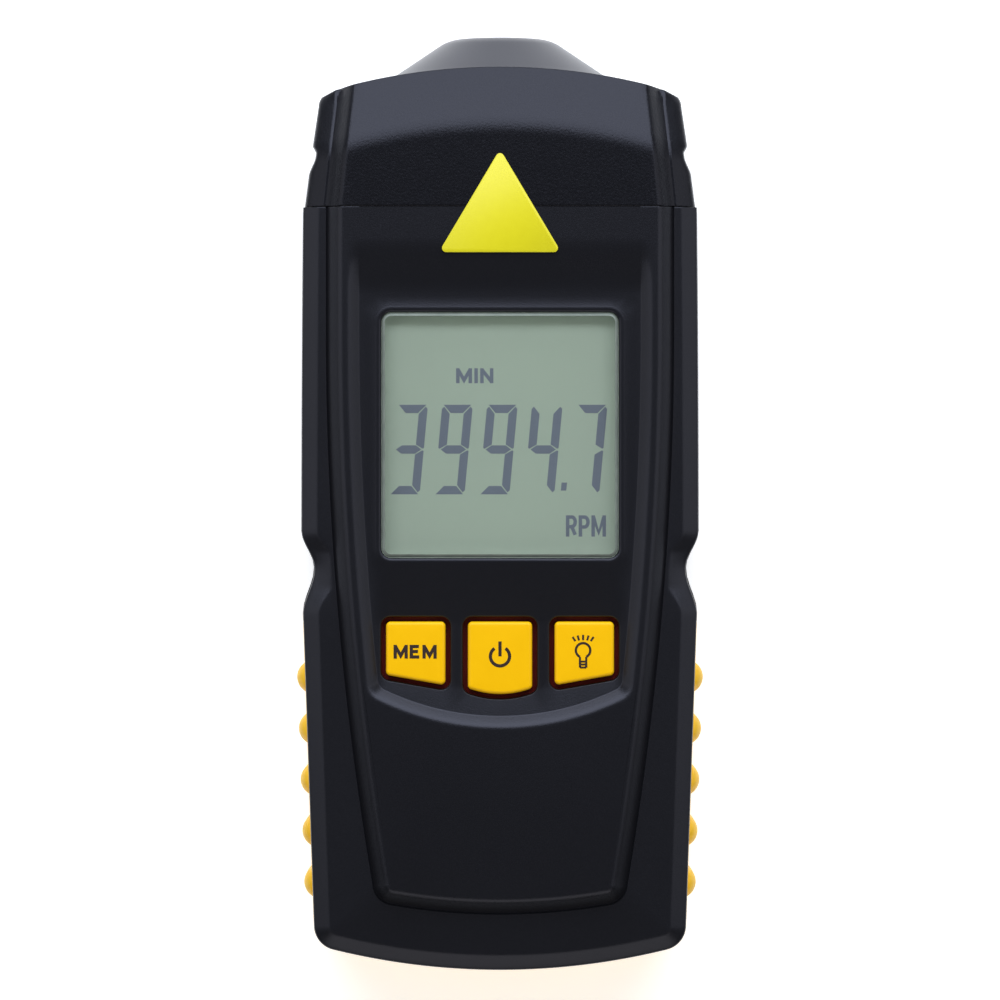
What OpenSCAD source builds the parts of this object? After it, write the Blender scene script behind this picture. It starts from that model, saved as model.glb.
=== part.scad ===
// Handheld laser tachometer, lying on its back with the head towards +Y and the display up.
// Millimetres; the origin is under the middle of the whole instrument, on the surface it lies on.

/* [Case] */
// Length of the case from toe to crest, without the lens hood
case_l = 129.35; // [126:0.05:140]
// Width of the case at the display
case_w = 57; // [56:0.2:62]
// Width of the case at the toe
toe_w = 53; // [52:0.2:55]
// Thickness of the instrument
case_t = 37; // [36:0.2:42]
// Height of the parting line between the two shells
part_z = 19; // [18.6:0.2:20]
// Wall of the moulded shells
wall = 2; // [1.6:0.1:2.4]
// Radius of the toe arc
toe_arc_r = 100; // [80:1:140]
// Radius of the corners at the toe
toe_corner_r = 3.6; // [2.5:0.1:5]
// How far the rear half stands proud of the front half
rear_step = 0.5; // [0.3:0.1:0.8]
// Height of the rounded front edge
edge_drop = 3.4; // [2.5:0.1:4.5]
// Depth of the rounded front edge, measured inwards
edge_in = 2.3; // [1.8:0.1:3]
// Radius of the rounded edge around the back
back_r = 3.2; // [2:0.1:4]

/* [Thumb notches] */
// Distance of the notches from the head seam
notch_drop = 51.8; // [50:0.2:53]
// Depth of the notches in the sides
notch_depth = 1.85; // [1:0.05:2]
// Further depth of the notches where they run out on the front
notch_scoop = 1.6; // [0:0.1:2]
// Length of the upper flank of a notch
notch_up = 5.3; // [4:0.1:7]
// Length of the lower flank of a notch
notch_down = 6.7; // [5:0.1:7]

/* [Centre panel] */
// Height of the raised panel above the side strips
panel_rise = 2.1; // [1.6:0.1:2.4]
// Width of the panel at the head seam
panel_w = 49.6; // [48.6:0.2:50.4]
// Width of the panel at the crest
panel_crest_w = 45.4; // [44:0.2:46]
// Distance from the head seam at which the panel begins to narrow
panel_bend = 17.7; // [12:0.1:24]
// Width of the panel at its foot
panel_foot_w = 34.8; // [33:0.2:37]
// Distance of the panel's foot from the toe
panel_toe = 8.2; // [7:0.05:10]
// Width of the sloping flank of the panel
panel_flank = 1.9; // [1.6:0.1:2.4]
// Depth of the recess for the display and the keys
recess_depth = 1.1; // [0.8:0.1:1.3]
// Flat rim between the recess and the panel's flank
recess_rim = 1.15; // [0.8:0.05:1.4]
// Width of the sloping wall of the recess
recess_flank = 1.6; // [1:0.1:1.8]
// Distance of the lowest point of the recess from the head seam
recess_drop = 74.5; // [73.5:0.1:76]
// Radius of the curved lower end of the recess
smile_r = 40; // [36:1:60]

/* [Head] */
// Length of the head cap
head_l = 19.9; // [19:0.1:22]
// Width of the head cap at the seam
head_w = 56; // [55.4:0.2:57]
// Width of the head cap in its side grooves
neck_w = 52.8; // [52:0.2:53.4]
// Width of the head cap just past the grooves
brow_w = 53.6; // [53.4:0.2:54.4]
// Width of the head cap at its end corners
crest_w = 52; // [51:0.2:53]
// Radius of the curved end of the head cap
crest_r = 88; // [75:1:110]
// Length of the slope that falls to the end
slope_l = 8.3; // [6:0.1:10]
// Fall of that slope
slope_fall = 3.6; // [3.4:0.1:4]

/* [Lens hood] */
// How far the hood reaches past the crest
hood_reach = 5.4; // [4.6:0.2:7]
// Diameter of the hood at its base
hood_base_d = 31; // [29:0.2:32]
// Diameter of the hood at its tip
hood_tip_d = 17.6; // [17:0.2:19]
// Diameter of the opening in the tip
hood_bore_d = 13.4; // [12:0.2:14]

/* [Display] */
// Width of the display window
display_w = 33.9; // [32:0.1:34.6]
// Length of the display window
display_l = 35.1; // [33:0.1:36]
// Distance of the window's middle from the head seam
display_drop = 32.7; // [32:0.1:33.4]
// Radius of the corners of the window
display_corner_r = 1.4; // [0.8:0.1:2.4]

/* [Keys] */
// Width of the middle key
power_w = 9.2; // [8.6:0.1:9.6]
// Width of the two outer keys
key_w = 8.5; // [8:0.1:8.8]
// Gap between neighbouring keys
key_gap = 3.2; // [3:0.1:3.6]
// Clearance around a key in its hole
key_clear = 0.6; // [0.4:0.05:0.7]
// Length of an outer key on its outer side
key_short_l = 7.6; // [7:0.1:8.2]
// Length of an outer key on its inner side
key_long_l = 9.1; // [8.4:0.1:9.4]
// Length of the middle key at its sides
power_l = 9.5; // [9:0.1:9.8]
// How far the middle key bulges at its lower end
power_sag = 0.85; // [0.3:0.05:1]
// Distance of the keys' upper edge from the display window
keys_gap = 9.15; // [8.8:0.05:9.6]
// Height of the keys above the recess
key_proud = 0.9; // [0.85:0.05:1.2]
// Travel of a key
key_travel = 0.8; // [0.4:0.05:0.8]

/* [Battery cover] */
// Distance of the cover's upper edge from the head seam
cover_drop = 59.8; // [59.4:0.1:60.4]
// Wall of the battery cover
cover_wall = 1.8; // [1.4:0.1:2]
// Number of grip bumps on each side
bump_count = 5; // [3:1:5]
// Distance between neighbouring bumps
bump_pitch = 7.5; // [6.5:0.1:7.6]
// Diameter of a bump
bump_d = 5; // [4:0.1:5.4]
// How far a bump stands proud of the cover
bump_proud = 1.3; // [0.6:0.1:1.4]
// Diameter of a battery cell
cell_d = 10.5; // [10:0.1:10.6]
// Length of a battery cell with its button
cell_l = 44.5; // [43.5:0.1:44.6]

/* [Hidden] */
$fn = 48;

// Clearances
fit = 0.3;
slip = 0.05;
seat = 0.2;
over = 1;

// Places along the case
y_toe = rear_step - (case_l + hood_reach + rear_step) / 2;
y_crest = y_toe + case_l;
y_seam = y_crest - head_l;
y_tip = y_crest + hood_reach;
y_notch = y_seam - notch_drop;
y_display = y_seam - display_drop;
y_keys = y_display - display_l / 2 - keys_gap;
y_cover = y_seam - cover_drop;

// Heights
strip_z = case_t - panel_rise;
recess_z = case_t - recess_depth;
ceiling_z = strip_z - 0.65 * wall;
hood_z = case_t / 2 - wall;
board_t = 1.6;
lcd_t = 2.2;
backlight_t = 2.4;
switch_h = 3.4;
board_drop = 8;
board_top = ceiling_z - board_drop;
board_z = board_top - board_t;
lcd_z = ceiling_z - lcd_t - seat;

// Drawing of the outlines
seam_draw = 0.24;
toe_steps = 5;
corner_steps = 5;
notch_steps = 5;
side_overrun = 4;

function lerp(a, b, t) = a + (b - a) * t;
function ease(t) = t <= 0 ? 0 : t >= 1 ? 1 : t * t * (3 - 2 * t);
function mirrored(half) = concat(
  half,
  [for (i = [len(half) - 1:-1:0]) if (half[i].x > 0) [-half[i].x, half[i].y]]
);

function at_height(path, z) = [for (p = path) [p.x, p.y, z]];

// Solid between closed rings that all have the same number of points; each end is a fan about its middle
function middle(ring) = [for (p = ring) 1] * ring / len(ring);
module loft(rings) {
  n = len(rings[0]);
  last = len(rings) - 1;
  low = (last + 1) * n;
  high = low + 1;
  polyhedron(
    points = concat([for (ring = rings) for (p = ring) p], [middle(rings[0]), middle(rings[last])]),
    faces = concat(
      [for (i = [0:n - 1]) [low, i, (i + 1) % n]],
      [for (i = [0:n - 1]) [high, last * n + (i + 1) % n, last * n + i]],
      [for (k = [0:last - 1]) for (i = [0:n - 1]) [k * n + i, (k + 1) * n + (i + 1) % n, k * n + (i + 1) % n]],
      [for (k = [0:last - 1]) for (i = [0:n - 1]) [k * n + i, (k + 1) * n + i, (k + 1) * n + (i + 1) % n]]
    )
  );
}

// Box given by its lowest and highest corners
module block(low, high) {
  translate(low) cube(high - low);
}

// Cylinder along +Y from a point
module rod_y(p, r, l) {
  translate(p) rotate([-90, 0, 0]) cylinder(r = r, h = l);
}

// Half width of the case side at y, with a thumb notch of the given depth
function side_x(y, dip) =
  let (
    below = max(0, (y_notch - y) / (y_notch - y_toe)),
    above = max(0, (y - y_notch) / (y_seam - y_notch)),
    flank = y > y_notch ? (y - y_notch) / notch_up : (y_notch - y) / notch_down
  )
  case_w / 2 - (case_w - toe_w) / 2 * below - seam_draw * above * above - dip * (1 - ease(flank));

// Points of an arc about a centre
function arc(c, r, from, to, steps) = [
  for (i = [0:steps])
    let (a = lerp(from, to, i / steps))
    c + r * [cos(a), sin(a)]
];

// Lower end of an outline: an arc through the middle, then a round corner tangent to it
function rounded_end(low_y, arc_r, side, corner_r) =
  let (
    cx = side - corner_r,
    cy = low_y + arc_r - sqrt((arc_r - corner_r) * (arc_r - corner_r) - cx * cx),
    turn = atan2(cy - low_y - arc_r, cx)
  )
  concat(
    [for (p = arc([0, low_y + arc_r], arc_r, -90, turn, toe_steps)) [abs(p.x) < 0.001 ? 0 : p.x, p.y]],
    [for (i = [1:corner_steps])
      let (a = turn * (1 - i / corner_steps))
      [cx, cy] + corner_r * [cos(a), sin(a)]]
  );

// Corner of an outline that has been moved inwards
least_corner_r = 0.4;
function inner_corner(r, inset) = max(r - inset, least_corner_r);

// Outline of the case, moved inwards by inset, from the middle of the toe up past the head seam
toe_side_y = y_toe + toe_w * toe_w / (8 * toe_arc_r) + 0.75 * toe_corner_r;
side_ys = concat(
  [for (i = [1:3]) lerp(toe_side_y, y_notch - notch_down, i / 3)],
  [for (i = [1:notch_steps]) y_notch - notch_down * (1 - i / notch_steps)],
  [for (i = [1:notch_steps]) y_notch + notch_up * i / notch_steps],
  [for (i = [1:3]) lerp(y_notch + notch_up, y_seam + side_overrun, i / 3)]
);
function case_path(inset, dip) = mirrored(concat(
  rounded_end(
    y_toe + inset,
    toe_arc_r - inset,
    side_x(toe_side_y, 0) - inset,
    inner_corner(toe_corner_r, inset)
  ),
  [for (y = side_ys) [side_x(y, dip) - inset, y]]
));

// Outline of the head cap, moved inwards by inset, from below the seam to the crest
groove_y = y_seam + 7.4;
crest_corner_r = 2;
crest_c = [0, y_crest - crest_r];
function head_path(inset) =
  let (
    r = inner_corner(crest_corner_r, inset),
    end_r = crest_r - inset,
    cx = crest_w / 2 - inset - r,
    cy = crest_c.y + sqrt((end_r - r) * (end_r - r) - cx * cx),
    turn = atan2(cy - crest_c.y, cx)
  )
  mirrored(concat(
    [for (y = [y_seam - side_overrun, y_seam]) [head_w / 2 - inset, y]],
    [for (i = [1:4]) [lerp(head_w, neck_w, ease(i / 4)) / 2 - inset, lerp(y_seam + 1.5, groove_y, i / 4)]],
    [[neck_w / 2 - inset, groove_y + 0.7], [brow_w / 2 - inset, groove_y + 1.5]],
    arc([cx, cy], r, 0, turn, corner_steps),
    [for (i = [1:8])
      let (a = lerp(turn, 90, i / 8))
      [i == 8 ? 0 : end_r * cos(a), crest_c.y + end_r * sin(a)]]
  ));

// How far the front of the head has fallen at a place in the plan, and an outline that follows it
function slope_drop(p) = slope_fall * max(0, norm(p - crest_c) - crest_r + slope_l) / slope_l;
function on_slope(path, z) = [for (p = path) [p.x, p.y, z - slope_drop(p)]];

// Rings of the rounded edges, each given as height, inset and further notch depth
edge_angles = [0, 30, 60, 90];
front_edge = [
  for (a = edge_angles)
    [strip_z - edge_drop * (1 - sin(a)), edge_in * (1 - cos(a)), notch_scoop * sin(a)]
];
back_edge = [
  for (i = [3:-1:0])
    let (a = edge_angles[i])
    [back_r * (1 - sin(a)), back_r * (1 - cos(a))]
];

// Half width of the raised panel at y; below the display it narrows in a long curve
y_panel = y_toe + panel_toe;
y_bend = y_seam - panel_bend;
function panel_x(y) =
  let (below = max(0, y_bend - y) / (y_bend - y_panel))
  (y > y_seam ? lerp(panel_w, panel_crest_w, (y - y_seam) / head_l)
  : lerp(panel_w, panel_foot_w, below * below)) / 2;

panel_corner_r = 3;
panel_foot_y = y_panel + panel_corner_r + 1;
panel_ys = concat([for (i = [1:8]) lerp(panel_foot_y, y_bend, i / 8)], [y_seam, y_crest + side_overrun]);
function panel_path(inset) = mirrored(concat(
  rounded_end(
    y_panel + inset,
    toe_arc_r - panel_toe - inset,
    panel_x(panel_foot_y) - inset,
    inner_corner(panel_corner_r, inset)
  ),
  [for (y = panel_ys) [panel_x(y) - inset, y]]
));

// Raised panel that runs up the front and over the head, rooted below the lowest place of the strips
panel_root_z = strip_z - slope_fall - edge_drop;
module panel() {
  loft([
    at_height(panel_path(0), panel_root_z),
    at_height(panel_path(0), strip_z),
    at_height(panel_path(panel_flank), case_t)
  ]);
}

// Outline of the recess: sides along the panel, a curved lower end, open at the top
y_recess = y_seam - recess_drop;
recess_corner_r = 2.6;
function recess_path(step, top_y) =
  let (
    margin = panel_flank + recess_rim + step,
    corner_y = y_recess + step + recess_corner_r + 3.4
  )
  mirrored(concat(
    rounded_end(y_recess + step, smile_r - step, panel_x(corner_y) - margin, recess_corner_r - step / 2),
    [for (i = [1:6]) let (y = lerp(corner_y, top_y, i / 6)) [panel_x(y) - margin, y]]
  ));

recess_floor_top = y_display + display_l / 2 + 2.6;
recess_ramp_l = 6.4;
module recess() {
  loft([
    at_height(recess_path(recess_flank, recess_floor_top), recess_z),
    at_height(recess_path(0, recess_floor_top + recess_ramp_l), case_t),
    at_height(recess_path(0, recess_floor_top + recess_ramp_l), case_t + over)
  ]);
}

// Sizes of the display cell, its frame and the light behind it
lcd_w = display_w + 1.1 * wall;
lcd_l = display_l + 1.5 * wall;
frame_w = lcd_w + wall;
frame_l = lcd_l + 1.5 * wall;
backlight_w = lcd_w - 0.8 * wall;
backlight_l = lcd_l - 3.5 * wall;
backlight_ledge = 0.75 * wall;

// Battery bay between the lower screws
cell_pitch = cell_d + 0.5;
bay_w = 3 * cell_d + 2;
bay_wall = 0.7 * wall;

// Screw posts, right-hand ones; the left ones are mirrored
post_r = 1.4 * wall;
pilot_r = 0.625 * wall;
pilot_l = 4.5 * wall;
screw_head_r = 1.15 * wall;
screw_head_h = 0.8 * wall;
case_post_in = 6.5;
case_posts = [
  [case_w / 2 - case_post_in, y_seam - case_post_in],
  [bay_w / 2 + bay_wall + screw_head_r, y_toe + cell_l / 2]
];
board_post_r = 0.8 * wall;
board_pilot_r = 0.4 * wall;
board_pilot_l = 2.5 * wall;
board_post_x = frame_w / 2 + board_post_r + seat;
board_posts = [
  [board_post_x, y_display + frame_l / 2 - wall],
  [board_post_x, y_keys - power_l - wall]
];
post_root = 0.4;
module at_both_sides(places) {
  for (p = places)
    for (s = [-1, 1])
      translate([s * p.x, p.y, 0]) children();
}

// Display window and its seat
view_ledge = 0.5;
window_t = 1.7;
window_bevel = 0.4;
window_z = recess_z - window_t;
module window_plan(grow) {
  translate([0, y_display]) offset(r = display_corner_r + grow, $fn = 32)
    square([display_w - 2 * display_corner_r, display_l - 2 * display_corner_r], center = true);
}

// Outlines of the keys in the plan
key_corner_r = 0.65;
outer_key_x = power_w / 2 + key_gap;
module key_outline(grow) {
  offset(r = key_corner_r + grow, $fn = 24) offset(delta = -key_corner_r) children();
}
module outer_key_plan() {
  polygon([
    [outer_key_x, y_keys],
    [outer_key_x, y_keys - key_long_l],
    [outer_key_x + key_w, y_keys - key_short_l],
    [outer_key_x + key_w, y_keys]
  ]);
}
power_arc_r = (power_w * power_w / 4 + power_sag * power_sag) / (2 * power_sag);
power_arc_a = asin(power_w / 2 / power_arc_r);
module power_key_plan() {
  polygon(concat(
    [[power_w / 2, y_keys], [-power_w / 2, y_keys]],
    arc([0, y_keys - power_l - power_sag + power_arc_r], power_arc_r, -90 - power_arc_a, -90 + power_arc_a, 8)
  ));
}
module key_plans(grow) {
  key_outline(grow) power_key_plan();
  for (s = [0, 1]) mirror([s, 0]) key_outline(grow) outer_key_plan();
}

// Front half of the case with its raised panel, recess, display opening and key holes
module front_shell() color("#26282c") {
  difference() {
    union() {
      loft(concat(
        [at_height(case_path(0.2, notch_depth), part_z), at_height(case_path(0, notch_depth), part_z + 1)],
        [for (e = front_edge) at_height(case_path(e[1], notch_depth + e[2]), e[0])]
      ));
      panel();
    }
    block([-case_w, y_seam, 0], [case_w, y_tip + over, case_t + over]);
    recess();
    translate([0, 0, part_z - over])
      linear_extrude(ceiling_z - part_z + over) polygon(case_path(wall, notch_depth + notch_scoop));
    translate([0, 0, window_z]) linear_extrude(case_t) window_plan(slip);
    translate([0, 0, ceiling_z - over]) linear_extrude(case_t) window_plan(-view_ledge);
    translate([0, 0, ceiling_z - over]) linear_extrude(case_t) key_plans(key_clear);
  }
  difference() {
    union() {
      at_both_sides(case_posts) translate([0, 0, part_z])
        cylinder(r = post_r, h = ceiling_z - part_z + post_root);
      at_both_sides(board_posts) translate([0, 0, board_top])
        cylinder(r = board_post_r, h = ceiling_z - board_top + post_root);
    }
    at_both_sides(case_posts) translate([0, 0, part_z - over])
      cylinder(r = pilot_r, h = pilot_l + over);
    at_both_sides(board_posts) translate([0, 0, board_top - over])
      cylinder(r = board_pilot_r, h = board_pilot_l + over);
  }
}

// Battery bay in the rear shell
tub_inset = cover_wall + fit - rear_step;
tub_wall = 2.8;
cell_z = cover_wall + fit + cell_d / 2;
bay_top_z = cell_z + cell_d / 2 + fit;
spring_l = 3.4;
plate_t = 0.4;
y_bay = y_toe + bay_w * bay_w / (8 * toe_arc_r) + tub_inset + bay_wall;
y_bay_end = y_bay + cell_l + spring_l + 2 * plate_t;

// Slide rails between the cover and the rear shell
rail_h = 1.2;
rail_t = 1.5;
rail_z = part_z - 4.5;

// Seats of the case screws
screw_seat_z = part_z - 5 * wall;
screw_hole_r = pilot_r + seat;
rear_post_r = screw_head_r + 0.45 * wall;

// Region of the case between two places along its length
module between_y(low, high) {
  intersection() {
    block([-case_w, low, -over], [case_w, high, case_t + over]);
    children();
  }
}
module case_prism(inset, dip, low_z, high_z) {
  translate([0, 0, low_z]) linear_extrude(high_z - low_z) polygon(case_path(inset, dip));
}
module rear_skin(high_z) {
  loft(concat(
    [for (e = back_edge) at_height(case_path(e[1] - rear_step, notch_depth), e[0])],
    [at_height(case_path(-rear_step, notch_depth), high_z)]
  ));
}

// Rear half of the case: full depth above, a narrower tub with the battery bay below
module rear_shell() color("#1f2124") {
  difference() {
    union() {
      between_y(y_cover + seat, y_seam) rear_skin(part_z);
      between_y(y_toe - over, y_cover + 2 * over) case_prism(tub_inset, 0, cover_wall + fit, part_z);
    }
    difference() {
      between_y(y_bay_end + bay_wall, y_seam + over) case_prism(wall, notch_depth, wall, part_z + over);
      at_both_sides([case_posts[0]]) cylinder(r = rear_post_r, h = part_z);
    }
    difference() {
      between_y(y_toe, y_bay_end + bay_wall + 0.1)
        case_prism(tub_inset + tub_wall, notch_depth, cover_wall + fit + bay_wall, part_z + over);
      block([-bay_w / 2 - bay_wall, y_toe, 0],
        [bay_w / 2 + bay_wall, y_bay_end + bay_wall + over, bay_top_z + bay_wall]);
      at_both_sides([case_posts[1]]) cylinder(r = rear_post_r, h = part_z);
    }
    block([-bay_w / 2, y_bay, -over], [bay_w / 2, y_cover - seat, bay_top_z]);
    block([-bay_w / 2, y_cover - over, wall + over / 2], [bay_w / 2, y_bay_end, bay_top_z]);
    between_y(y_toe - over, y_cover) difference() {
      case_prism(tub_inset - over, 0, rail_z - fit, rail_z + rail_t + fit);
      case_prism(tub_inset + rail_h, 0, rail_z - 2 * fit, rail_z + rail_t + 2 * fit);
    }
    at_both_sides(case_posts) {
      translate([0, 0, -over]) cylinder(r = screw_hole_r, h = part_z + 2 * over);
      translate([0, 0, -over]) cylinder(r = screw_head_r + fit, h = screw_seat_z + over);
    }
  }
}

// Orange cover that wraps the battery bay and slides off towards the toe
bump_first = 8.1;
bump_low_z = 6;
bump_high_z = part_z - 4;
module grip_bump(i) {
  y = y_cover - bump_first - i * bump_pitch;
  translate([side_x(y, 0) + rear_step + bump_proud - bump_d / 2, y, 0]) {
    translate([0, 0, bump_low_z]) cylinder(d = bump_d, h = bump_high_z - bump_low_z);
    translate([0, 0, bump_low_z]) sphere(d = bump_d);
    translate([0, 0, bump_high_z]) sphere(d = bump_d);
  }
}
module battery_cover() color("#f2a31b") {
  difference() {
    union() {
      between_y(y_toe - 2 * over, y_cover) rear_skin(part_z - seat);
      for (s = [0, 1]) mirror([s, 0, 0])
        for (i = [0:bump_count - 1]) grip_bump(i);
    }
    difference() {
      case_prism(cover_wall - rear_step, 0, cover_wall, part_z + over);
      between_y(y_toe + toe_corner_r + 5, y_cover - 2) difference() {
        case_prism(cover_wall - rear_step - over, 0, rail_z, rail_z + rail_t);
        case_prism(cover_wall - rear_step + rail_h, 0, rail_z - over, rail_z + rail_t + over);
      }
    }
  }
}

// Optics carried in the head
end_wall = 4.6;
spot_depth = 1.6;
slope_span = 60;
collar_r = 11.2;
collar_wall = 1.7;
flange_r = 14.3;
flange_t = 1.8;
y_end_in = y_crest - end_wall;
y_spot = y_crest - spot_depth;
head_screw_circle = 12.8;
head_screw_r = 0.8;
head_screw_angles = [90, 210, 330];
head_screw_grip = 2.4;
function head_screw_place(a, y) = [head_screw_circle * cos(a), y, hood_z + head_screw_circle * sin(a)];
head_room_w = 2 * (flange_r + wall);
y_slope = groove_y - wall;
crest_edge = 0.45;
spigot_l = 2.5;
spigot_t = 1.2;

// Closed cap over the head end, with the falling slope, side grooves and a seat for the hood
module spigot_section(step) {
  translate([step - head_w / 2 + wall + 0.4, wall + fit + step])
    square([head_w - 2 * wall - 0.8 - 2 * step, ceiling_z - wall - 2 * fit - 2 * step]);
}
module along_y(low, high) {
  translate([0, high, 0]) rotate([90, 0, 0]) linear_extrude(high - low) children();
}
module head_cap() color("#2a2c31") {
  difference() {
    union() {
      loft(concat(
        [for (e = back_edge) at_height(head_path(e[1]), e[0])],
        [for (e = front_edge) on_slope(head_path(e[1]), e[0])]
      ));
      intersection() {
        panel();
        linear_extrude(case_t + over) polygon(head_path(crest_edge));
      }
    }
    block([-case_w, y_toe - over, -over], [case_w, y_seam, case_t + over]);
    translate([crest_c.x, crest_c.y, case_t]) rotate(90 - slope_span / 2)
      rotate_extrude(angle = slope_span, $fn = 180)
        polygon([
          [crest_r - slope_l, 0],
          [crest_r + slope_l, -2 * slope_fall],
          [crest_r + slope_l, over],
          [crest_r - slope_l, over]
        ]);
    intersection() {
      translate([0, 0, wall]) linear_extrude(ceiling_z - wall) polygon(head_path(wall));
      union() {
        block([-case_w, y_seam - over, 0], [case_w, y_slope, case_t]);
        block([-head_room_w / 2, y_seam - over, 0], [head_room_w / 2, y_end_in, case_t]);
      }
    }
    rod_y([0, y_spot, hood_z], hood_base_d / 2 + fit, end_wall + over);
    rod_y([0, y_end_in - over, hood_z], collar_r + slip, end_wall);
    for (a = head_screw_angles)
      rod_y(head_screw_place(a, y_end_in - over), head_screw_r + slip / 2, head_screw_grip + over);
  }
  along_y(y_seam - spigot_l, y_seam + over) difference() {
    spigot_section(0);
    spigot_section(spigot_t);
  }
  along_y(y_seam, y_seam + over) difference() {
    spigot_section(-0.8);
    spigot_section(spigot_t);
  }
}

// Smooth cone around the optics, straight from a narrow band at its base to the rounded tip
hood_rim_r = 1.4;
hood_window_r = hood_bore_d / 2 + 0.7;
hood_window_t = 1.2;
hood_lip = 1.2;
base_band = 1.2;
module lens_hood() color("#33363c")
  translate([0, 0, hood_z]) rotate([-90, 0, 0]) rotate_extrude($fn = 96)
    polygon(concat(
      [
        [collar_r, y_end_in],
        [collar_r, y_spot],
        [hood_base_d / 2, y_spot],
        [hood_base_d / 2, y_spot + base_band]
      ],
      arc([hood_tip_d / 2 - hood_rim_r, y_tip - hood_rim_r], hood_rim_r, 0, 90, 5),
      [
        [hood_bore_d / 2, y_tip],
        [hood_bore_d / 2, y_tip - hood_lip],
        [hood_window_r + slip, y_tip - hood_lip],
        [hood_window_r + slip, y_tip - hood_lip - 2 * hood_window_t],
        [collar_r - collar_wall, y_spot],
        [collar_r - collar_wall, y_end_in]
      ]
    ));

module snout_window() color("#7a1420")
  rod_y([0, y_tip - hood_lip - hood_window_t, hood_z], hood_window_r, hood_window_t);

// Block behind the hood with the bores for the laser and the receiving lens
barrel_r = collar_r - collar_wall - fit;
barrel_l = 14;
laser_x = -4.6;
laser_r = 3;
laser_l = 15;
lens_x = 3.4;
lens_r = 3.6;
lens_t = 1.8;
diode_r = 2.3;
diode_l = 4;
y_barrel = y_spot - 1;
y_barrel_back = y_barrel - barrel_l;
y_flange = y_end_in - flange_t;
module optics_holder() color("#3a3a40") difference() {
  union() {
    rod_y([0, y_barrel_back, hood_z], barrel_r, barrel_l);
    rod_y([0, y_flange, hood_z], flange_r, flange_t);
  }
  rod_y([laser_x, y_barrel_back - over, hood_z], laser_r + slip, barrel_l + 2 * over);
  rod_y([lens_x, y_barrel - lens_t - 0.4, hood_z], lens_r + slip, lens_t + over);
  rod_y([lens_x, y_barrel_back + diode_l, hood_z], lens_r - 0.6, barrel_l);
  rod_y([lens_x, y_barrel_back - over, hood_z], diode_r + slip, barrel_l);
  for (a = head_screw_angles)
    rod_y(head_screw_place(a, y_flange - over), head_screw_r + slip, flange_t + 2 * over);
}

// Brass tube of the laser, with its exit hole
module laser_module() color("#c9a24a") difference() {
  rod_y([laser_x, y_barrel - laser_l, hood_z], laser_r, laser_l);
  rod_y([laser_x, y_barrel - 2, hood_z], laser_r - 1, 2 + over);
}

// Plano-convex receiving lens
lens_edge = 1;
lens_ball_r = (lens_r * lens_r + pow(lens_t - lens_edge, 2)) / (2 * (lens_t - lens_edge));
module receiver_lens() color("#cfe3ea")
  translate([lens_x, y_barrel - lens_t - 0.4, hood_z]) rotate([-90, 0, 0]) rotate_extrude()
    polygon(concat(
      [[0, 0], [lens_r, 0]],
      [for (i = [0:6])
        let (a = asin(lens_r / lens_ball_r) * (1 - i / 6))
        [lens_ball_r * sin(a), lens_ball_r * cos(a) + lens_t - lens_ball_r]]
    ));

// Photodiode can at the focus, pressed against the sensor board
module photodiode() color("#b9bcc0") {
  rod_y([lens_x, y_barrel_back, hood_z], diode_r, diode_l - 0.4);
}

// Small upright board behind the optics
sensor_board_t = 0.6 * wall;
sensor_board_h = 1.52 * barrel_r;
y_sensor = y_barrel_back - sensor_board_t;
module sensor_board() color("#1d6b3c") difference() {
  block([-barrel_r, y_sensor, hood_z - sensor_board_h / 2],
    [barrel_r, y_barrel_back, hood_z + sensor_board_h / 2]);
  rod_y([laser_x, y_sensor - over, hood_z], laser_r + fit, sensor_board_t + 2 * over);
}

// Pan-head screw pointing along +Z from its seat
module screw(head_r, head_h, shank_r, shank_l) {
  difference() {
    translate([0, 0, -head_h]) cylinder(r = head_r, h = head_h);
    for (a = [0, 90]) rotate(a)
      block([-head_r * 0.14, -head_r * 0.6, -head_h - over], [head_r * 0.14, head_r * 0.6, -head_h * 0.5]);
  }
  cylinder(r = shank_r, h = shank_l);
}
module case_screws() color("#8d9094")
  at_both_sides(case_posts) translate([0, 0, screw_seat_z])
    screw(screw_head_r, screw_head_h, pilot_r - slip / 2, part_z - screw_seat_z + 0.9 * pilot_l);
module board_screws() color("#8d9094")
  at_both_sides(board_posts) translate([0, 0, board_z])
    screw(2 * board_pilot_r, 1.25 * board_pilot_r, board_pilot_r - slip / 2, board_t + 0.8 * board_pilot_l);
module head_screws() color("#8d9094")
  for (a = head_screw_angles)
    translate(head_screw_place(a, y_flange)) rotate([-90, 0, 0])
      screw(1.8 * head_screw_r, 1.25 * head_screw_r, head_screw_r - slip / 2, flange_t + 0.8 * head_screw_grip);

// Display, from the window down to the board
module centred_block(w, l, low_z, high_z) {
  block([-w / 2, y_display - l / 2, low_z], [w / 2, y_display + l / 2, high_z]);
}
zebra_t = wall;
zebra_y = lcd_l / 2 - zebra_t;
module display_window() color("#dfe9e6") translate([0, 0, window_z]) hull() {
  linear_extrude(window_t - window_bevel) window_plan(0);
  linear_extrude(window_t) window_plan(-window_bevel);
}
module lcd_glass() color("#9aaaa2")
  centred_block(lcd_w, lcd_l, lcd_z, lcd_z + lcd_t);
module zebra_places(grow) {
  for (s = [-1, 1])
    block([zebra_t / 2 - lcd_w / 2 - grow, y_display + s * zebra_y - zebra_t / 2 - grow, board_top],
      [lcd_w / 2 - zebra_t / 2 + grow, y_display + s * zebra_y + zebra_t / 2 + grow, lcd_z]);
}
module zebra_strips() color("#d8a0a8") zebra_places(0);
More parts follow.
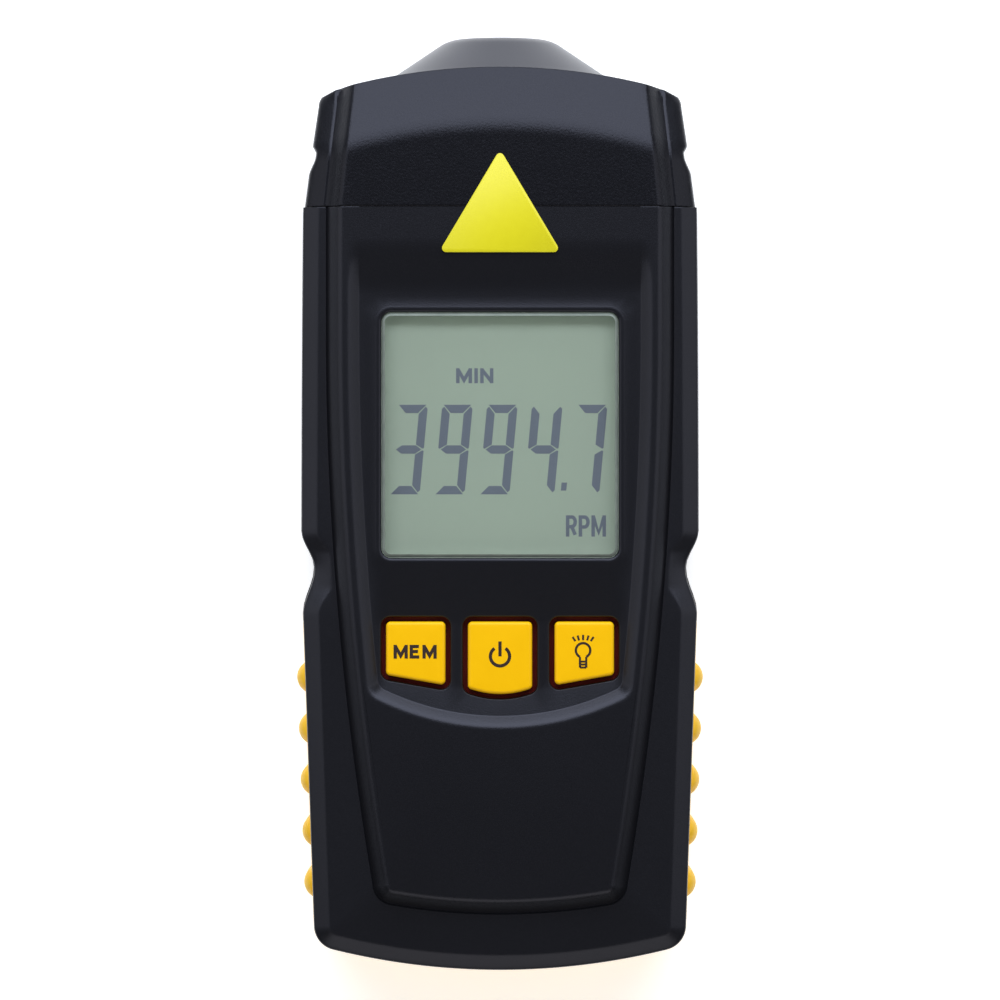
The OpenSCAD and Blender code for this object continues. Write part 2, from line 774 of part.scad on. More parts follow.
module lcd_frame() color("#e9e9e4") difference() {
  centred_block(frame_w, frame_l, board_top, ceiling_z);
  centred_block(lcd_w + 2 * seat, lcd_l + 2 * seat, lcd_z, case_t);
  centred_block(backlight_w + 2 * seat, backlight_l + 2 * seat, lcd_z - backlight_t, case_t);
  centred_block(backlight_w - 2 * backlight_ledge, backlight_l - 2 * backlight_ledge, 0, case_t);
  zebra_places(seat);
}
module backlight_panel() color("#f4f6f2")
  centred_block(backlight_w, backlight_l, lcd_z - backlight_t, lcd_z);

// Keys: a cap through the shell, a flange that keeps it in, and a stem on the switch plunger
key_top = recess_z + key_proud;
key_edge = 0.5;
flange_grow = 2 * key_clear;
flange_h = 1.6;
flange_top = ceiling_z - seat;
plunger_r = 1.7;
plunger_l = 2.2;
plunger_rise = 1.2;
plunger_top = board_top + switch_h + plunger_rise;
stem_r = 1.5;
outer_key_c = [outer_key_x + key_w / 2, y_keys - (key_short_l + key_long_l) / 4];
power_key_c = [0, y_keys - power_l / 2];
module key_solid(c) {
  translate([0, 0, flange_top - seat]) hull() {
    linear_extrude(key_top - key_edge - flange_top + seat) key_outline(0) children();
    linear_extrude(key_top - flange_top + seat) key_outline(-key_edge) children();
  }
  translate([0, 0, flange_top - flange_h]) linear_extrude(flange_h) key_outline(flange_grow) children();
  translate([c.x, c.y, plunger_top]) cylinder(r = stem_r, h = flange_top - plunger_top);
}
module light_key() color("#ffc814") key_solid(outer_key_c) outer_key_plan();
module memory_key() color("#ffc814") mirror([1, 0, 0]) key_solid(outer_key_c) outer_key_plan();
module power_key() color("#ffc814") key_solid(power_key_c) power_key_plan();

// Tact switches under the keys
switch_w = 6;
module switch_body(c) {
  difference() {
    translate([c.x - switch_w / 2, c.y - switch_w / 2, board_top]) cube([switch_w, switch_w, switch_h]);
    translate([c.x, c.y, plunger_top - plunger_l - key_travel - seat])
      cylinder(r = plunger_r + slip, h = switch_h);
  }
}
module plunger(c) {
  translate([c.x, c.y, plunger_top - plunger_l]) cylinder(r = plunger_r, h = plunger_l);
}
module light_switch() color("#3c3d40") switch_body(outer_key_c);
module memory_switch() color("#3c3d40") mirror([1, 0, 0]) switch_body(outer_key_c);
module power_switch() color("#3c3d40") switch_body(power_key_c);
module light_plunger() color("#5a2c20") plunger(outer_key_c);
module memory_plunger() color("#5a2c20") mirror([1, 0, 0]) plunger(outer_key_c);
module power_plunger() color("#5a2c20") plunger(power_key_c);

// Circuit board and what is soldered to its underside
board_w = 2 * (board_post_x + board_post_r);
board_high_y = board_posts[0].y + 1.5 * wall;
board_low_y = board_posts[1].y - 1.5 * wall;
module main_board() color("#1d6b3c") difference() {
  intersection() {
    block([-board_w / 2, board_low_y, board_z], [board_w / 2, board_high_y, board_top]);
    case_prism(wall + fit, notch_depth + notch_scoop, board_z, board_top);
  }
  at_both_sides(board_posts) translate([0, 0, board_z - over])
    cylinder(r = board_pilot_r + seat, h = board_t + 2 * over);
}
chip_w = 10;
chip_h = 1.4;
module controller_chip() color("#2b2b2d")
  translate([-chip_w / 2, y_display - chip_w / 2, board_z - chip_h]) cube([chip_w, chip_w, chip_h]);
can_r = 2.2;
can_span = 6.4;
can_h = 3.4;
module crystal_can() color("#c6c9cc") translate([5 * can_r, y_keys + can_r, board_z - can_h]) {
  for (s = [-1, 1]) translate([s * can_span / 2, 0, 0]) cylinder(r = can_r, h = can_h);
  translate([-can_span / 2, -can_r, 0]) cube([can_span, 2 * can_r, can_h]);
}

// Three cells in the bay; the outer ones point to the toe, the middle one to the head
button_r = 1.9;
button_l = 0.9;
y_cell = y_bay + plate_t;
module cell(x, base_y) {
  translate([x, base_y, cell_z]) rotate([-90, 0, 0]) {
    translate([0, 0, button_l]) cylinder(d = cell_d, h = cell_l - button_l);
    cylinder(r = button_r, h = button_l);
  }
}
module left_cell() color("#5f6a72") cell(-cell_pitch, y_cell);
module right_cell() color("#5f6a72") cell(cell_pitch, y_cell);
module middle_cell() color("#5f6a72")
  translate([0, 2 * y_cell + spring_l + cell_l, 0]) mirror([0, 1, 0]) cell(0, y_cell);

// Contacts at both ends of the bay
plate_w = 9;
plate_h = 9;
spring_r = 2.6;
wire_r = 0.35;
spring_turns = 3;
spring_steps = 12;
wire_sides = 6;
module contact_plates() color("#b9bcc0")
  for (i = [-1:1])
    for (y = [y_bay, y_bay_end - plate_t])
      block([i * cell_pitch - plate_w / 2, y, cell_z - plate_h / 2],
        [i * cell_pitch + plate_w / 2, y + plate_t, cell_z + plate_h / 2]);
module coil() {
  loft([for (i = [0:spring_turns * spring_steps])
    let (
      a = 360 * i / spring_steps,
      rise = wire_r + (spring_l - 2 * wire_r) * i / (spring_turns * spring_steps)
    )
    [for (k = [0:wire_sides - 1])
      let (w = -360 * k / wire_sides, r = spring_r + wire_r * cos(w))
      [r * cos(a), r * sin(a), rise + wire_r * sin(w)]]
  ]);
}
module contact_springs() color("#b9bcc0") {
  for (s = [-1, 1]) translate([s * cell_pitch, y_cell + cell_l, cell_z]) rotate([-90, 0, 0]) coil();
  translate([0, y_cell, cell_z]) rotate([-90, 0, 0]) coil();
}

front_shell();
rear_shell();
head_cap();
lens_hood();
battery_cover();
display_window();
lcd_glass();
lcd_frame();
backlight_panel();
zebra_strips();
memory_key();
power_key();
light_key();
memory_plunger();
power_plunger();
light_plunger();
memory_switch();
power_switch();
light_switch();
main_board();
controller_chip();
crystal_can();
snout_window();
optics_holder();
laser_module();
receiver_lens();
photodiode();
sensor_board();
left_cell();
middle_cell();
right_cell();
contact_springs();
contact_plates();
case_screws();
board_screws();
head_screws();
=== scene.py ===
# Laser tachometer, lying on its back with the display up and the lens hood towards +Y.
import math

import bmesh
import bpy
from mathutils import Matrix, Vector
from mathutils.geometry import delaunay_2d_cdt


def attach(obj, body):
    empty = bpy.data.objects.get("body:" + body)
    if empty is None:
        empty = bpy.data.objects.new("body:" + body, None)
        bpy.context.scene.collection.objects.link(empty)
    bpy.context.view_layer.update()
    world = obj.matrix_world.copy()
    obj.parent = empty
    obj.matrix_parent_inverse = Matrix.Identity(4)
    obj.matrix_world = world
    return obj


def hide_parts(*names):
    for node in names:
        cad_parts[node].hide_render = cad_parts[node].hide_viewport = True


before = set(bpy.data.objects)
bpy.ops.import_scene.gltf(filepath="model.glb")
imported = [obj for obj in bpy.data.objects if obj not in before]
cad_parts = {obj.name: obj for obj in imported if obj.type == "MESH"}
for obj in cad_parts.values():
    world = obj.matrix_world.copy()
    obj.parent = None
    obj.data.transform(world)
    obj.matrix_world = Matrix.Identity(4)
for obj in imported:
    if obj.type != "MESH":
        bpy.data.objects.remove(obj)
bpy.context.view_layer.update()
MM = 0.001

# Camera
# A long lens on a stand straight above the instrument, level with the table,
# so that the front shows square on with the head at the top of the picture.
mid_height = 0.019
camera_rise = 0.86
picture_width = 0.1459
aim_y = 0.000325
camera_data = bpy.data.cameras.new("stand_camera")
camera_data.sensor_width = 36.0
camera_data.lens = 36.0 * camera_rise / picture_width
camera_data.clip_end = 5.0
camera = bpy.data.objects.new("stand_camera", camera_data)
camera.location = (0.0, aim_y, mid_height + camera_rise)
bpy.context.scene.collection.objects.link(camera)
bpy.context.scene.camera = camera

# Table and light
# A sheet of white acrylic lit from below, on a wide pale table, with large soft boxes: the main one stands
# beyond the head, two long ones stand along the sides and a weak one fills from the toe end.
bpy.context.scene.view_settings.view_transform = "Standard"


def node_material(name, **settings):
    """New material whose main shader has these values set on its own sockets."""
    made = bpy.data.materials.new(name)
    made.use_nodes = True
    shader = made.node_tree.nodes["Principled BSDF"]
    for socket, value in settings.items():
        shader.inputs[socket.replace("_", " ")].default_value = value
    return made, shader, made.node_tree.nodes, made.node_tree.links


def soft_box(name, place, target, width, height, power, tint):
    """Rectangular soft light that faces its target."""
    lamp = bpy.data.lights.new(name, "AREA")
    lamp.shape = "RECTANGLE"
    lamp.size = width
    lamp.size_y = height
    lamp.energy = power
    lamp.color = tint
    holder = bpy.data.objects.new(name, lamp)
    holder.location = place
    holder.rotation_euler = (Vector(target) - Vector(place)).to_track_quat("-Z", "Y").to_euler()
    bpy.context.scene.collection.objects.link(holder)


middle = (0.0, 0.0, 0.02)
soft_box("head_box", (0.0, 0.75, 0.65), middle, 1.5, 1.0, 17.0, (0.87, 0.92, 1.0))
soft_box("left_box", (-0.8, 0.1, 0.6), middle, 0.5, 1.0, 1.6, (1.0, 1.0, 1.0))
soft_box("right_box", (0.8, 0.1, 0.6), middle, 0.5, 1.0, 1.6, (1.0, 1.0, 1.0))
soft_box("toe_box", (0.0, -0.8, 0.6), middle, 1.2, 0.6, 2.6, (1.0, 0.96, 0.9))

room = bpy.data.worlds.new("studio_room")
room.use_nodes = True
room.node_tree.nodes["Background"].inputs["Color"].default_value = (0.94, 0.96, 1.0, 1.0)
room.node_tree.nodes["Background"].inputs["Strength"].default_value = 0.06
bpy.context.scene.world = room


def flat_sheet(name, half_x, low_y, high_y, z, material):
    """Level rectangle that belongs to the stage."""
    sheet_mesh = bpy.data.meshes.new(name)
    corners = [(-half_x, low_y, z), (half_x, low_y, z), (half_x, high_y, z), (-half_x, high_y, z)]
    sheet_mesh.from_pydata(corners, [], [(0, 1, 2, 3)])
    sheet_mesh.materials.append(material)
    sheet = bpy.data.objects.new(name, sheet_mesh)
    bpy.context.scene.collection.objects.link(sheet)


acrylic_white = node_material("acrylic_white", Base_Color=(0.9, 0.9, 0.9, 1.0), Roughness=0.75,
                              Emission_Color=(1.0, 1.0, 1.0, 1.0), Emission_Strength=0.55)[0]
table_pale = node_material("table_pale", Base_Color=(0.62, 0.62, 0.63, 1.0), Roughness=0.85)[0]
flat_sheet("acrylic_sheet", 0.085, -0.16, 0.35, 0.0, acrylic_white)
flat_sheet("table_top", 2.0, -2.0, 2.0, -0.003, table_pale)

# Front shell
# Injection-moulded black half of the case: a raised centre panel with sloping flanks, a recess for the
# display and keys, thumb notches in the sides; a fine satin spark finish, screwed on from the back.
case_w = 57.0
toe_w = 53.0
case_t = 37.0
part_z = 19.0
y_toe = -67.125
y_crest = 62.225
y_seam = 42.325
y_notch = y_seam - 51.8
notch_depth = 1.85
notch_scoop = 1.6
notch_up = 5.3
notch_down = 6.7
seam_draw = 0.24
toe_arc_r = 100.0
toe_corner_r = 3.6
panel_rise = 2.1
panel_w = 49.6
panel_crest_w = 45.4
panel_foot_w = 34.8
panel_toe = 8.2
panel_flank = 1.9
panel_corner_r = 3.0
recess_depth = 1.1
recess_rim = 1.15
recess_corner_r = 2.6
y_recess = y_seam - 74.5
smile_r = 40.0
strip_z = case_t - panel_rise
y_panel = y_toe + panel_toe
y_bend = y_seam - 17.7
arc_points = 26
corner_points = 14
side_points = 150
seam_gap = 0.05
seam_round = 0.15
seam_dip = 0.02
seam_rows = (0.3, 0.18, 0.11, seam_gap)
even_rows_end = 0.5
least_case_corner_r = 0.6
least_panel_corner_r = 0.7
band_to_panel = 0.375


def ease(t):
    """Smooth step from 0 to 1."""
    t = min(max(t, 0.0), 1.0)
    return t * t * (3.0 - 2.0 * t)


def mix(a, b, t):
    """Value a share t of the way from a to b."""
    return a + (b - a) * t


def side_x(y, dip):
    """Half width of the case at y, with a thumb notch of depth dip."""
    below = max(0.0, (y_notch - y) / (y_notch - y_toe))
    above = max(0.0, (y - y_notch) / (y_seam - y_notch))
    flank = (y - y_notch) / notch_up if y > y_notch else (y_notch - y) / notch_down
    return case_w / 2 - (case_w - toe_w) / 2 * below - seam_draw * above * above - dip * (1.0 - ease(flank))


def panel_x(y):
    """Half width of the raised panel at y; below the display it narrows in a long curve."""
    if y > y_seam:
        return mix(panel_w, panel_crest_w, (y - y_seam) / (y_crest - y_seam)) / 2
    below = max(0.0, y_bend - y) / (y_bend - y_panel)
    return mix(panel_w, panel_foot_w, below * below) / 2


low_points = 24
y_level = y_notch - 14.5


def half_path(low_y, arc_r, corner_r, side, top_y):
    """Right half of an outline, from the middle of its lower arc round the corner and up its side."""
    cy = low_y + corner_r + 2.0
    for turn in range(4):
        cx = side(cy) - corner_r
        cy = low_y + arc_r - math.sqrt((arc_r - corner_r) ** 2 - cx * cx)
    end = math.atan2(cy - low_y - arc_r, cx)
    path = []
    for i in range(arc_points):
        a = mix(-math.pi / 2, end, i / arc_points)
        path.append((arc_r * math.cos(a), low_y + arc_r + arc_r * math.sin(a)))
    path[0] = (0.0, low_y)
    for i in range(corner_points):
        a = end * (1.0 - i / corner_points)
        path.append((cx + corner_r * math.cos(a), cy + corner_r * math.sin(a)))
    heights = [mix(cy, y_level, i / low_points) for i in range(low_points)]
    heights += [mix(y_level, top_y - even_rows_end, i / side_points) for i in range(side_points + 1)]
    for y in heights + [top_y - back for back in seam_rows]:
        path.append((side(y), y))
    return path


edge_band = 2.5


def banded_x(y, inset):
    """Half width inside the edge band, which widens in the thumb notches and stops short of the panel."""
    inner = max(side_x(y, notch_depth + notch_scoop) - edge_band, panel_x(y) + band_to_panel)
    return mix(side_x(y, notch_depth), inner, inset / edge_band)


def case_ring(inset, z):
    """Right half of the case outline, moved in by inset, at one height."""
    path = half_path(y_toe + inset, toe_arc_r - inset, max(toe_corner_r - inset, least_case_corner_r),
                     lambda y: banded_x(y, inset), y_seam)
    return [(x, y, z) for x, y in path]


def panel_ring(inset, z):
    """Right half of the raised panel outline, moved in by inset, at one height."""
    path = half_path(y_panel + inset, toe_arc_r - panel_toe - inset,
                     max(panel_corner_r - inset, least_panel_corner_r), lambda y: panel_x(y) - inset, y_seam)
    return [(x, y, z) for x, y in path]


recess_floor_top = y_seam - 12.55
recess_ramp = 8.0


def recess_ring(step, sink):
    """Ring of the recess wall, step inwards from its upper edge and sunk by a share of the recess depth."""
    margin = panel_flank + recess_rim + step
    path = half_path(y_recess + step, smile_r - step, recess_corner_r - step / 2,
                     lambda y: panel_x(y) - margin, y_seam)
    ring = []
    for x, y in path:
        depth = recess_depth * sink * (1.0 - ease((y - recess_floor_top) / recess_ramp))
        ring.append((x, y, case_t - depth))
    return ring


def both_sides(half):
    """Whole open ring from the left end round the middle to the right end, rolled off at the head seam."""
    rolled = []
    for x, y, z in half:
        bend = max(0.0, 1.0 - (y_seam - seam_gap - y) / seam_round)
        rolled.append((x, y, z - seam_dip * bend ** 2))
    return [(-x, y, z) for x, y, z in reversed(rolled[1:])] + rolled


def sheet_of_rings(rings):
    """Vertices and quads between open rings that all have the same number of points."""
    count = len(rings[0])
    verts = [p for ring in rings for p in ring]
    faces = []
    for k in range(len(rings) - 1):
        for i in range(count - 1):
            a = k * count + i
            faces.append((a, a + 1, a + count + 1, a + count))
    return verts, faces


def mesh_piece(name, verts, faces, material, sharp=40.0):
    """Object from millimetre points, smooth apart from edges that bend more than the sharp angle."""
    shape = bpy.data.meshes.new(name)
    shape.from_pydata([(x * MM, y * MM, z * MM) for x, y, z in verts], [], faces)
    work = bmesh.new()
    work.from_mesh(shape)
    bmesh.ops.remove_doubles(work, verts=work.verts, dist=1e-7)
    bmesh.ops.recalc_face_normals(work, faces=work.faces)
    for face in work.faces:
        face.smooth = True
    for edge in work.edges:
        edge.smooth = len(edge.link_faces) != 2 or edge.calc_face_angle(0.0) < math.radians(sharp)
    work.to_mesh(shape)
    work.free()
    shape.materials.append(material)
    piece = bpy.data.objects.new(name, shape)
    bpy.context.scene.collection.objects.link(piece)
    return piece


def moulded_black(name, colour, rough, gloss, grain_scale, grain_depth):
    """Moulded black plastic: a fine spark texture in bump and roughness, with faint cloudy variation."""
    made, shader, nodes, links = node_material(name, IOR=1.5, Specular_IOR_Level=gloss,
                                               Specular_Tint=(0.80, 0.82, 1.0, 1.0))
    place = nodes.new("ShaderNodeTexCoord")
    grain = nodes.new("ShaderNodeTexNoise")
    grain.inputs["Scale"].default_value = grain_scale
    grain.inputs["Detail"].default_value = 3.0
    cloud = nodes.new("ShaderNodeTexNoise")
    cloud.inputs["Scale"].default_value = 60.0
    tone = nodes.new("ShaderNodeValToRGB")
    tone.color_ramp.elements[0].color = (*[c * 0.86 for c in colour], 1.0)
    tone.color_ramp.elements[1].color = (*[c * 1.14 for c in colour], 1.0)
    rough_range = nodes.new("ShaderNodeMapRange")
    rough_range.inputs["To Min"].default_value = rough - 0.06
    rough_range.inputs["To Max"].default_value = rough + 0.06
    bump = nodes.new("ShaderNodeBump")
    bump.inputs["Strength"].default_value = 0.5
    bump.inputs["Distance"].default_value = grain_depth
    links.new(place.outputs["Object"], grain.inputs["Vector"])
    links.new(place.outputs["Object"], cloud.inputs["Vector"])
    links.new(cloud.outputs["Fac"], tone.inputs["Fac"])
    links.new(tone.outputs["Color"], shader.inputs["Base Color"])
    links.new(grain.outputs["Fac"], rough_range.inputs["Value"])
    links.new(rough_range.outputs["Result"], shader.inputs["Roughness"])
    links.new(grain.outputs["Fac"], bump.inputs["Height"])
    links.new(bump.outputs["Normal"], shader.inputs["Normal"])
    return made


case_black = moulded_black("case_black", (0.0066, 0.0067, 0.0084), 0.34, 0.43, 5200.0, 0.00003)
ceiling_z = 33.6
wall = 2.0
foot_edge = ((wall, part_z), (0.34, part_z), (0.12, part_z + 0.1), (0.0, part_z + 0.35))
front_rings = [both_sides(case_ring(inset, z)) for inset, z in foot_edge]
round_edge = ((0.0, 3.4), (0.01, 1.8), (0.03, 1.46), (0.08, 1.24), (0.17, 1.09), (0.35, 0.95), (0.7, 0.77),
              (1.1, 0.57), (1.5, 0.37), (1.85, 0.2), (2.05, 0.11), (2.2, 0.055), (2.35, 0.02), (2.5, 0.0))
for inset, fall in round_edge:
    front_rings.append(both_sides(case_ring(inset, strip_z - fall)))
crease = ((-0.26, 0.0), (-0.16, 0.02), (-0.07, -0.08), (0.0, -0.16), (0.07, -0.1), (0.16, 0.08))
for inset, lift in crease:
    front_rings.append(both_sides(panel_ring(inset, strip_z + lift)))
flank_slope = panel_rise / panel_flank
fillet = 0.5
for share in (0.3, 0.55, 1.0 - fillet / panel_flank):
    front_rings.append(both_sides(panel_ring(panel_flank * share, strip_z + panel_rise * share)))
for share in (0.25, 0.5, 0.75, 1.0):
    run = panel_flank - fillet + 2.0 * fillet * share
    front_rings.append(both_sides(panel_ring(run, case_t - flank_slope * fillet * (1.0 - share) ** 2)))
recess_profile = ((-0.55, 0.0), (-0.35, 0.0), (-0.15, 0.014), (0.05, 0.054), (0.25, 0.122), (0.45, 0.218),
                  (0.65, 0.34), (1.0, 0.578), (1.35, 0.82), (1.5, 0.93), (1.58, 0.98), (1.65, 1.0))
for step, sink in recess_profile:
    front_rings.append(both_sides(recess_ring(step, sink)))
verts, faces = sheet_of_rings(front_rings)
inner = recess_ring(*recess_profile[-1])
recess_z = case_t - recess_depth
ramp_start = next(i for i, p in enumerate(inner) if p[1] > recess_floor_top)
floor_columns = 20
row = floor_columns + 1
first = len(verts)
for x, y, z in inner[ramp_start - 1:]:
    verts += [(mix(-x, x, j / floor_columns), y, z) for j in range(row)]
for i in range(len(inner) - ramp_start):
    for j in range(floor_columns):
        a = first + i * row + j
        faces.append((a, a + 1, a + row + 1, a + row))


def convex_ring(corners, radius, grow):
    """Outline of a convex plate with round corners, moved outwards by grow."""
    count = len(corners)
    normals = []
    for k in range(count):
        (ax, ay), (bx, by) = corners[k], corners[(k + 1) % count]
        reach = math.hypot(bx - ax, by - ay)
        normals.append(((by - ay) / reach, (ax - bx) / reach))
    ring = []
    for k in range(count):
        (n1x, n1y), (n2x, n2y) = normals[k - 1], normals[k]
        dot = n1x * n2x + n1y * n2y
        cx = corners[k][0] - radius * (n1x + n2x) / (1.0 + dot)
        cy = corners[k][1] - radius * (n1y + n2y) / (1.0 + dot)
        start = math.atan2(n1y, n1x)
        turn = math.acos(min(1.0, dot))
        steps = max(1, round(math.degrees(turn) / 9.0))
        for i in range(steps + 1):
            a = start + turn * i / steps
            ring.append((cx + (radius + grow) * math.cos(a), cy + (radius + grow) * math.sin(a)))
    return ring


y_display = y_seam - 32.7
display_w = 33.9
display_l = 35.1
display_corner_r = 1.4
display_plan = [(-display_w / 2, y_display - display_l / 2), (display_w / 2, y_display - display_l / 2),
                (display_w / 2, y_display + display_l / 2), (-display_w / 2, y_display + display_l / 2)]
y_keys = y_display - display_l / 2 - 9.15
power_w = 9.2
power_l = 9.5
power_sag = 0.85
key_w = 8.5
key_gap = 3.2
key_short_l = 7.6
key_long_l = 9.1
key_corner_r = 0.65
outer_x = power_w / 2 + key_gap
light_plan = [(outer_x, y_keys), (outer_x, y_keys - key_long_l),
              (outer_x + key_w, y_keys - key_short_l), (outer_x + key_w, y_keys)]
memory_plan = [(-x, y) for x, y in reversed(light_plan)]
power_plan = [(power_w / 2, y_keys), (-power_w / 2, y_keys)]
for i in range(13):
    across = i / 6 - 1.0
    power_plan.append((power_w / 2 * across, y_keys - power_l - power_sag * (1.0 - across ** 2)))
key_clear = 0.72
hole_plans = (display_plan, memory_plan, power_plan, light_plan)
hole_radii = (display_corner_r, key_corner_r, key_corner_r, key_corner_r)
lip = ((0.95, 0.0), (0.8, 0.05), (0.5, 0.06), (0.22, 0.03), (0.06, -0.12), (0.04, -1.7))
key_edge_lip = ((key_clear + 0.2, 0.0), (key_clear + 0.06, -0.05), (key_clear, -0.2), (key_clear, -2.3))
hole_profiles = (lip, key_edge_lip, key_edge_lip, key_edge_lip)
flat_points = [(x, y) for x, y, z in inner[:ramp_start]]
flat_edge = [(-x, y) for x, y in reversed(flat_points[1:])] + flat_points
x_end, y_end = flat_points[-1]
flat_edge += [(mix(x_end, -x_end, j / floor_columns), y_end) for j in range(1, floor_columns)]
points = [Vector(p) for p in flat_edge]
loops = [list(range(len(points)))]
for plan, radius, profile in zip(hole_plans, hole_radii, hole_profiles):
    edge = convex_ring(plan, radius, profile[0][0])
    loops.append(list(range(len(points), len(points) + len(edge))))
    points += [Vector(p) for p in edge]
    rings = [[(x, y, recess_z + lift) for x, y in convex_ring(plan, radius, grow)] for grow, lift in profile]
    wall_verts, wall_faces = sheet_of_rings([ring + ring[:1] for ring in rings])
    faces += [tuple(len(verts) + i for i in face) for face in wall_faces]
    verts += wall_verts
edges = [(loop[i - 1], loop[i]) for loop in loops for i in range(len(loop))]
flat = delaunay_2d_cdt(points, edges, [], 0, 1e-6)
flat_holes = [convex_ring(plan, radius, profile[0][0] - 0.01)
              for plan, radius, profile in zip(hole_plans, hole_radii, hole_profiles)]


def inside(point, ring):
    """Whether a point lies within a closed outline."""
    crossings = 0
    for (ax, ay), (bx, by) in zip(ring, ring[1:] + ring[:1]):
        if (ay > point[1]) != (by > point[1]) and point[0] < ax + (bx - ax) * (point[1] - ay) / (by - ay):
            crossings += 1
    return crossings % 2 == 1


first = len(verts)
verts += [(p.x, p.y, recess_z) for p in flat[0]]
for face in flat[2]:
    centre = (sum(flat[0][i].x for i in face) / len(face), sum(flat[0][i].y for i in face) / len(face))
    if inside(centre, flat_edge) and not any(inside(centre, hole) for hole in flat_holes):
        faces.append(tuple(first + i for i in face))
front_case = mesh_piece("front_case", verts, faces, case_black, 50.0)
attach(front_case, "housing")
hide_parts("front_shell")

# Head cap
# Black moulding that closes the head end: the panel runs over it and falls away in a finely grained
# slope to a crisp curved crest; side grooves for the fingers, plugged into the front and rear shells.
head_w = 56.0
crest_w = 52.3
crest_r = 88.0
crest_corner_r = 2.0
slope_l = 8.3
slope_fall = 3.6
slope_blend = 1.5
edge_in = 2.3
edge_drop = 3.4
crest_edge = 0.25
crest_out = 0.3
crest_y = y_crest + crest_out - crest_r
corner_x = crest_w / 2 - crest_corner_r
corner_y = crest_y + math.sqrt((crest_r - crest_corner_r) ** 2 - corner_x ** 2)
crest_turn = math.atan2(corner_y - crest_y, corner_x)
seam_half = 28.08
head_taper = 0.131
groove_depth = 0.65
groove_start = 4.6
groove_ease_in = 2.6
groove_end = 8.95
groove_ease_out = 1.2
crease_reach = 0.3
strip_step = 0.2
head_seam_dip = 0.05


def head_x(y):
    """Half width of the head below its crest corners: an even taper with the finger groove let into it."""
    rise = y - y_seam
    dip = min(ease((rise - groove_start) / groove_ease_in), ease((groove_end - rise) / groove_ease_out))
    return seam_half - head_taper * rise - groove_depth * dip


def panel_height(x, y):
    """Height of the strip, the crease, the flank and the raised panel across the head."""
    into = panel_x(y) - abs(x)
    if into < -crease_reach:
        return strip_z
    for (d0, h0), (d1, h1) in zip(crease, crease[1:]):
        if into < d1:
            return strip_z + mix(h0, h1, (into - d0) / (d1 - d0))
    if into < panel_flank - fillet:
        return strip_z + panel_rise * into / panel_flank
    if into < panel_flank + fillet:
        share = (into - panel_flank + fillet) / (2.0 * fillet)
        return case_t - flank_slope * fillet * (1.0 - share) ** 2
    return case_t


def head_height(x, y):
    """The panel section, falling as a whole towards the crest after a soft bend."""
    past = math.hypot(x, y - crest_y) - crest_r + slope_l
    if past < slope_blend:
        past = max(past + slope_blend, 0.0) ** 2 / (4.0 * slope_blend)
    return panel_height(x, y) - slope_fall * past / slope_l


column_marks = [("panel", i / 14) for i in range(15)]
column_marks += [("flank", d) for d in (0.25, 0.0, -0.25, -0.5, -1.0, -1.6, -2.1)]
column_marks += [("crease", d) for d, h in reversed(crease)]
column_marks += [("strip", s) for s in (0.3, 0.6, 1.0)]


def column_x(mark, y):
    """Place across the head of one column of points at y."""
    kind, value = mark
    edge = panel_x(y)
    if kind == "panel":
        return (edge - panel_flank - fillet) * value
    if kind == "flank":
        return edge - panel_flank - value
    if kind == "crease":
        return edge - value
    return edge + crease_reach + strip_step * value


def crest_end(x):
    """Where a column of points ends at the crest."""
    return crest_y + math.sqrt((crest_r - crest_edge) ** 2 - x * x)


row_places = [0.0, 0.004, 0.009, 0.014] + [mix(0.03, 1.0, i / 66) for i in range(67)]
top_rows = []
for v in row_places:
    line = []
    for mark in column_marks:
        y = y_seam + 10.0
        for turn in range(12):
            x = column_x(mark, min(y, corner_y))
            y = mix(y_seam + seam_gap, crest_end(x), v)
        bend = max(0.0, 1.0 - (y - y_seam - seam_gap) / seam_round)
        line.append((x, y, head_height(x, y) - head_seam_dip * bend * bend))
    top_rows.append([(-x, y, z) for x, y, z in reversed(line[1:])] + line)
verts = [p for line in top_rows for p in line]
wide = len(top_rows[0])
faces = []
for i in range(len(top_rows) - 1):
    for j in range(wide - 1):
        a = i * wide + j
        faces.append((a, a + 1, a + wide + 1, a + wide))

side_rim = [line[-1] for line in top_rows]
rim = side_rim + list(reversed(top_rows[-1][wide // 2:-1]))
last_side = side_rim[-1]
side_reach = 2.0
corner_blend = 0.8
outline = []
for x, y, z in rim:
    if y <= corner_y and x > corner_x - side_reach:
        outline.append((head_x(y), y))
    elif (x, y, z) in side_rim:
        a = crest_turn / 2 * (y - corner_y) / (last_side[1] - corner_y)
        outline.append((corner_x + crest_corner_r * math.cos(a), corner_y + crest_corner_r * math.sin(a)))
    else:
        start = crest_r * math.cos(crest_turn)
        if x > start - corner_blend:
            along = (last_side[0] - x) / (last_side[0] - start + corner_blend)
            a = mix(crest_turn / 2, crest_turn, along)
            outline.append((corner_x + crest_corner_r * math.cos(a), corner_y + crest_corner_r * math.sin(a)))
        else:
            outline.append((x, crest_y + math.sqrt(crest_r ** 2 - x * x)))

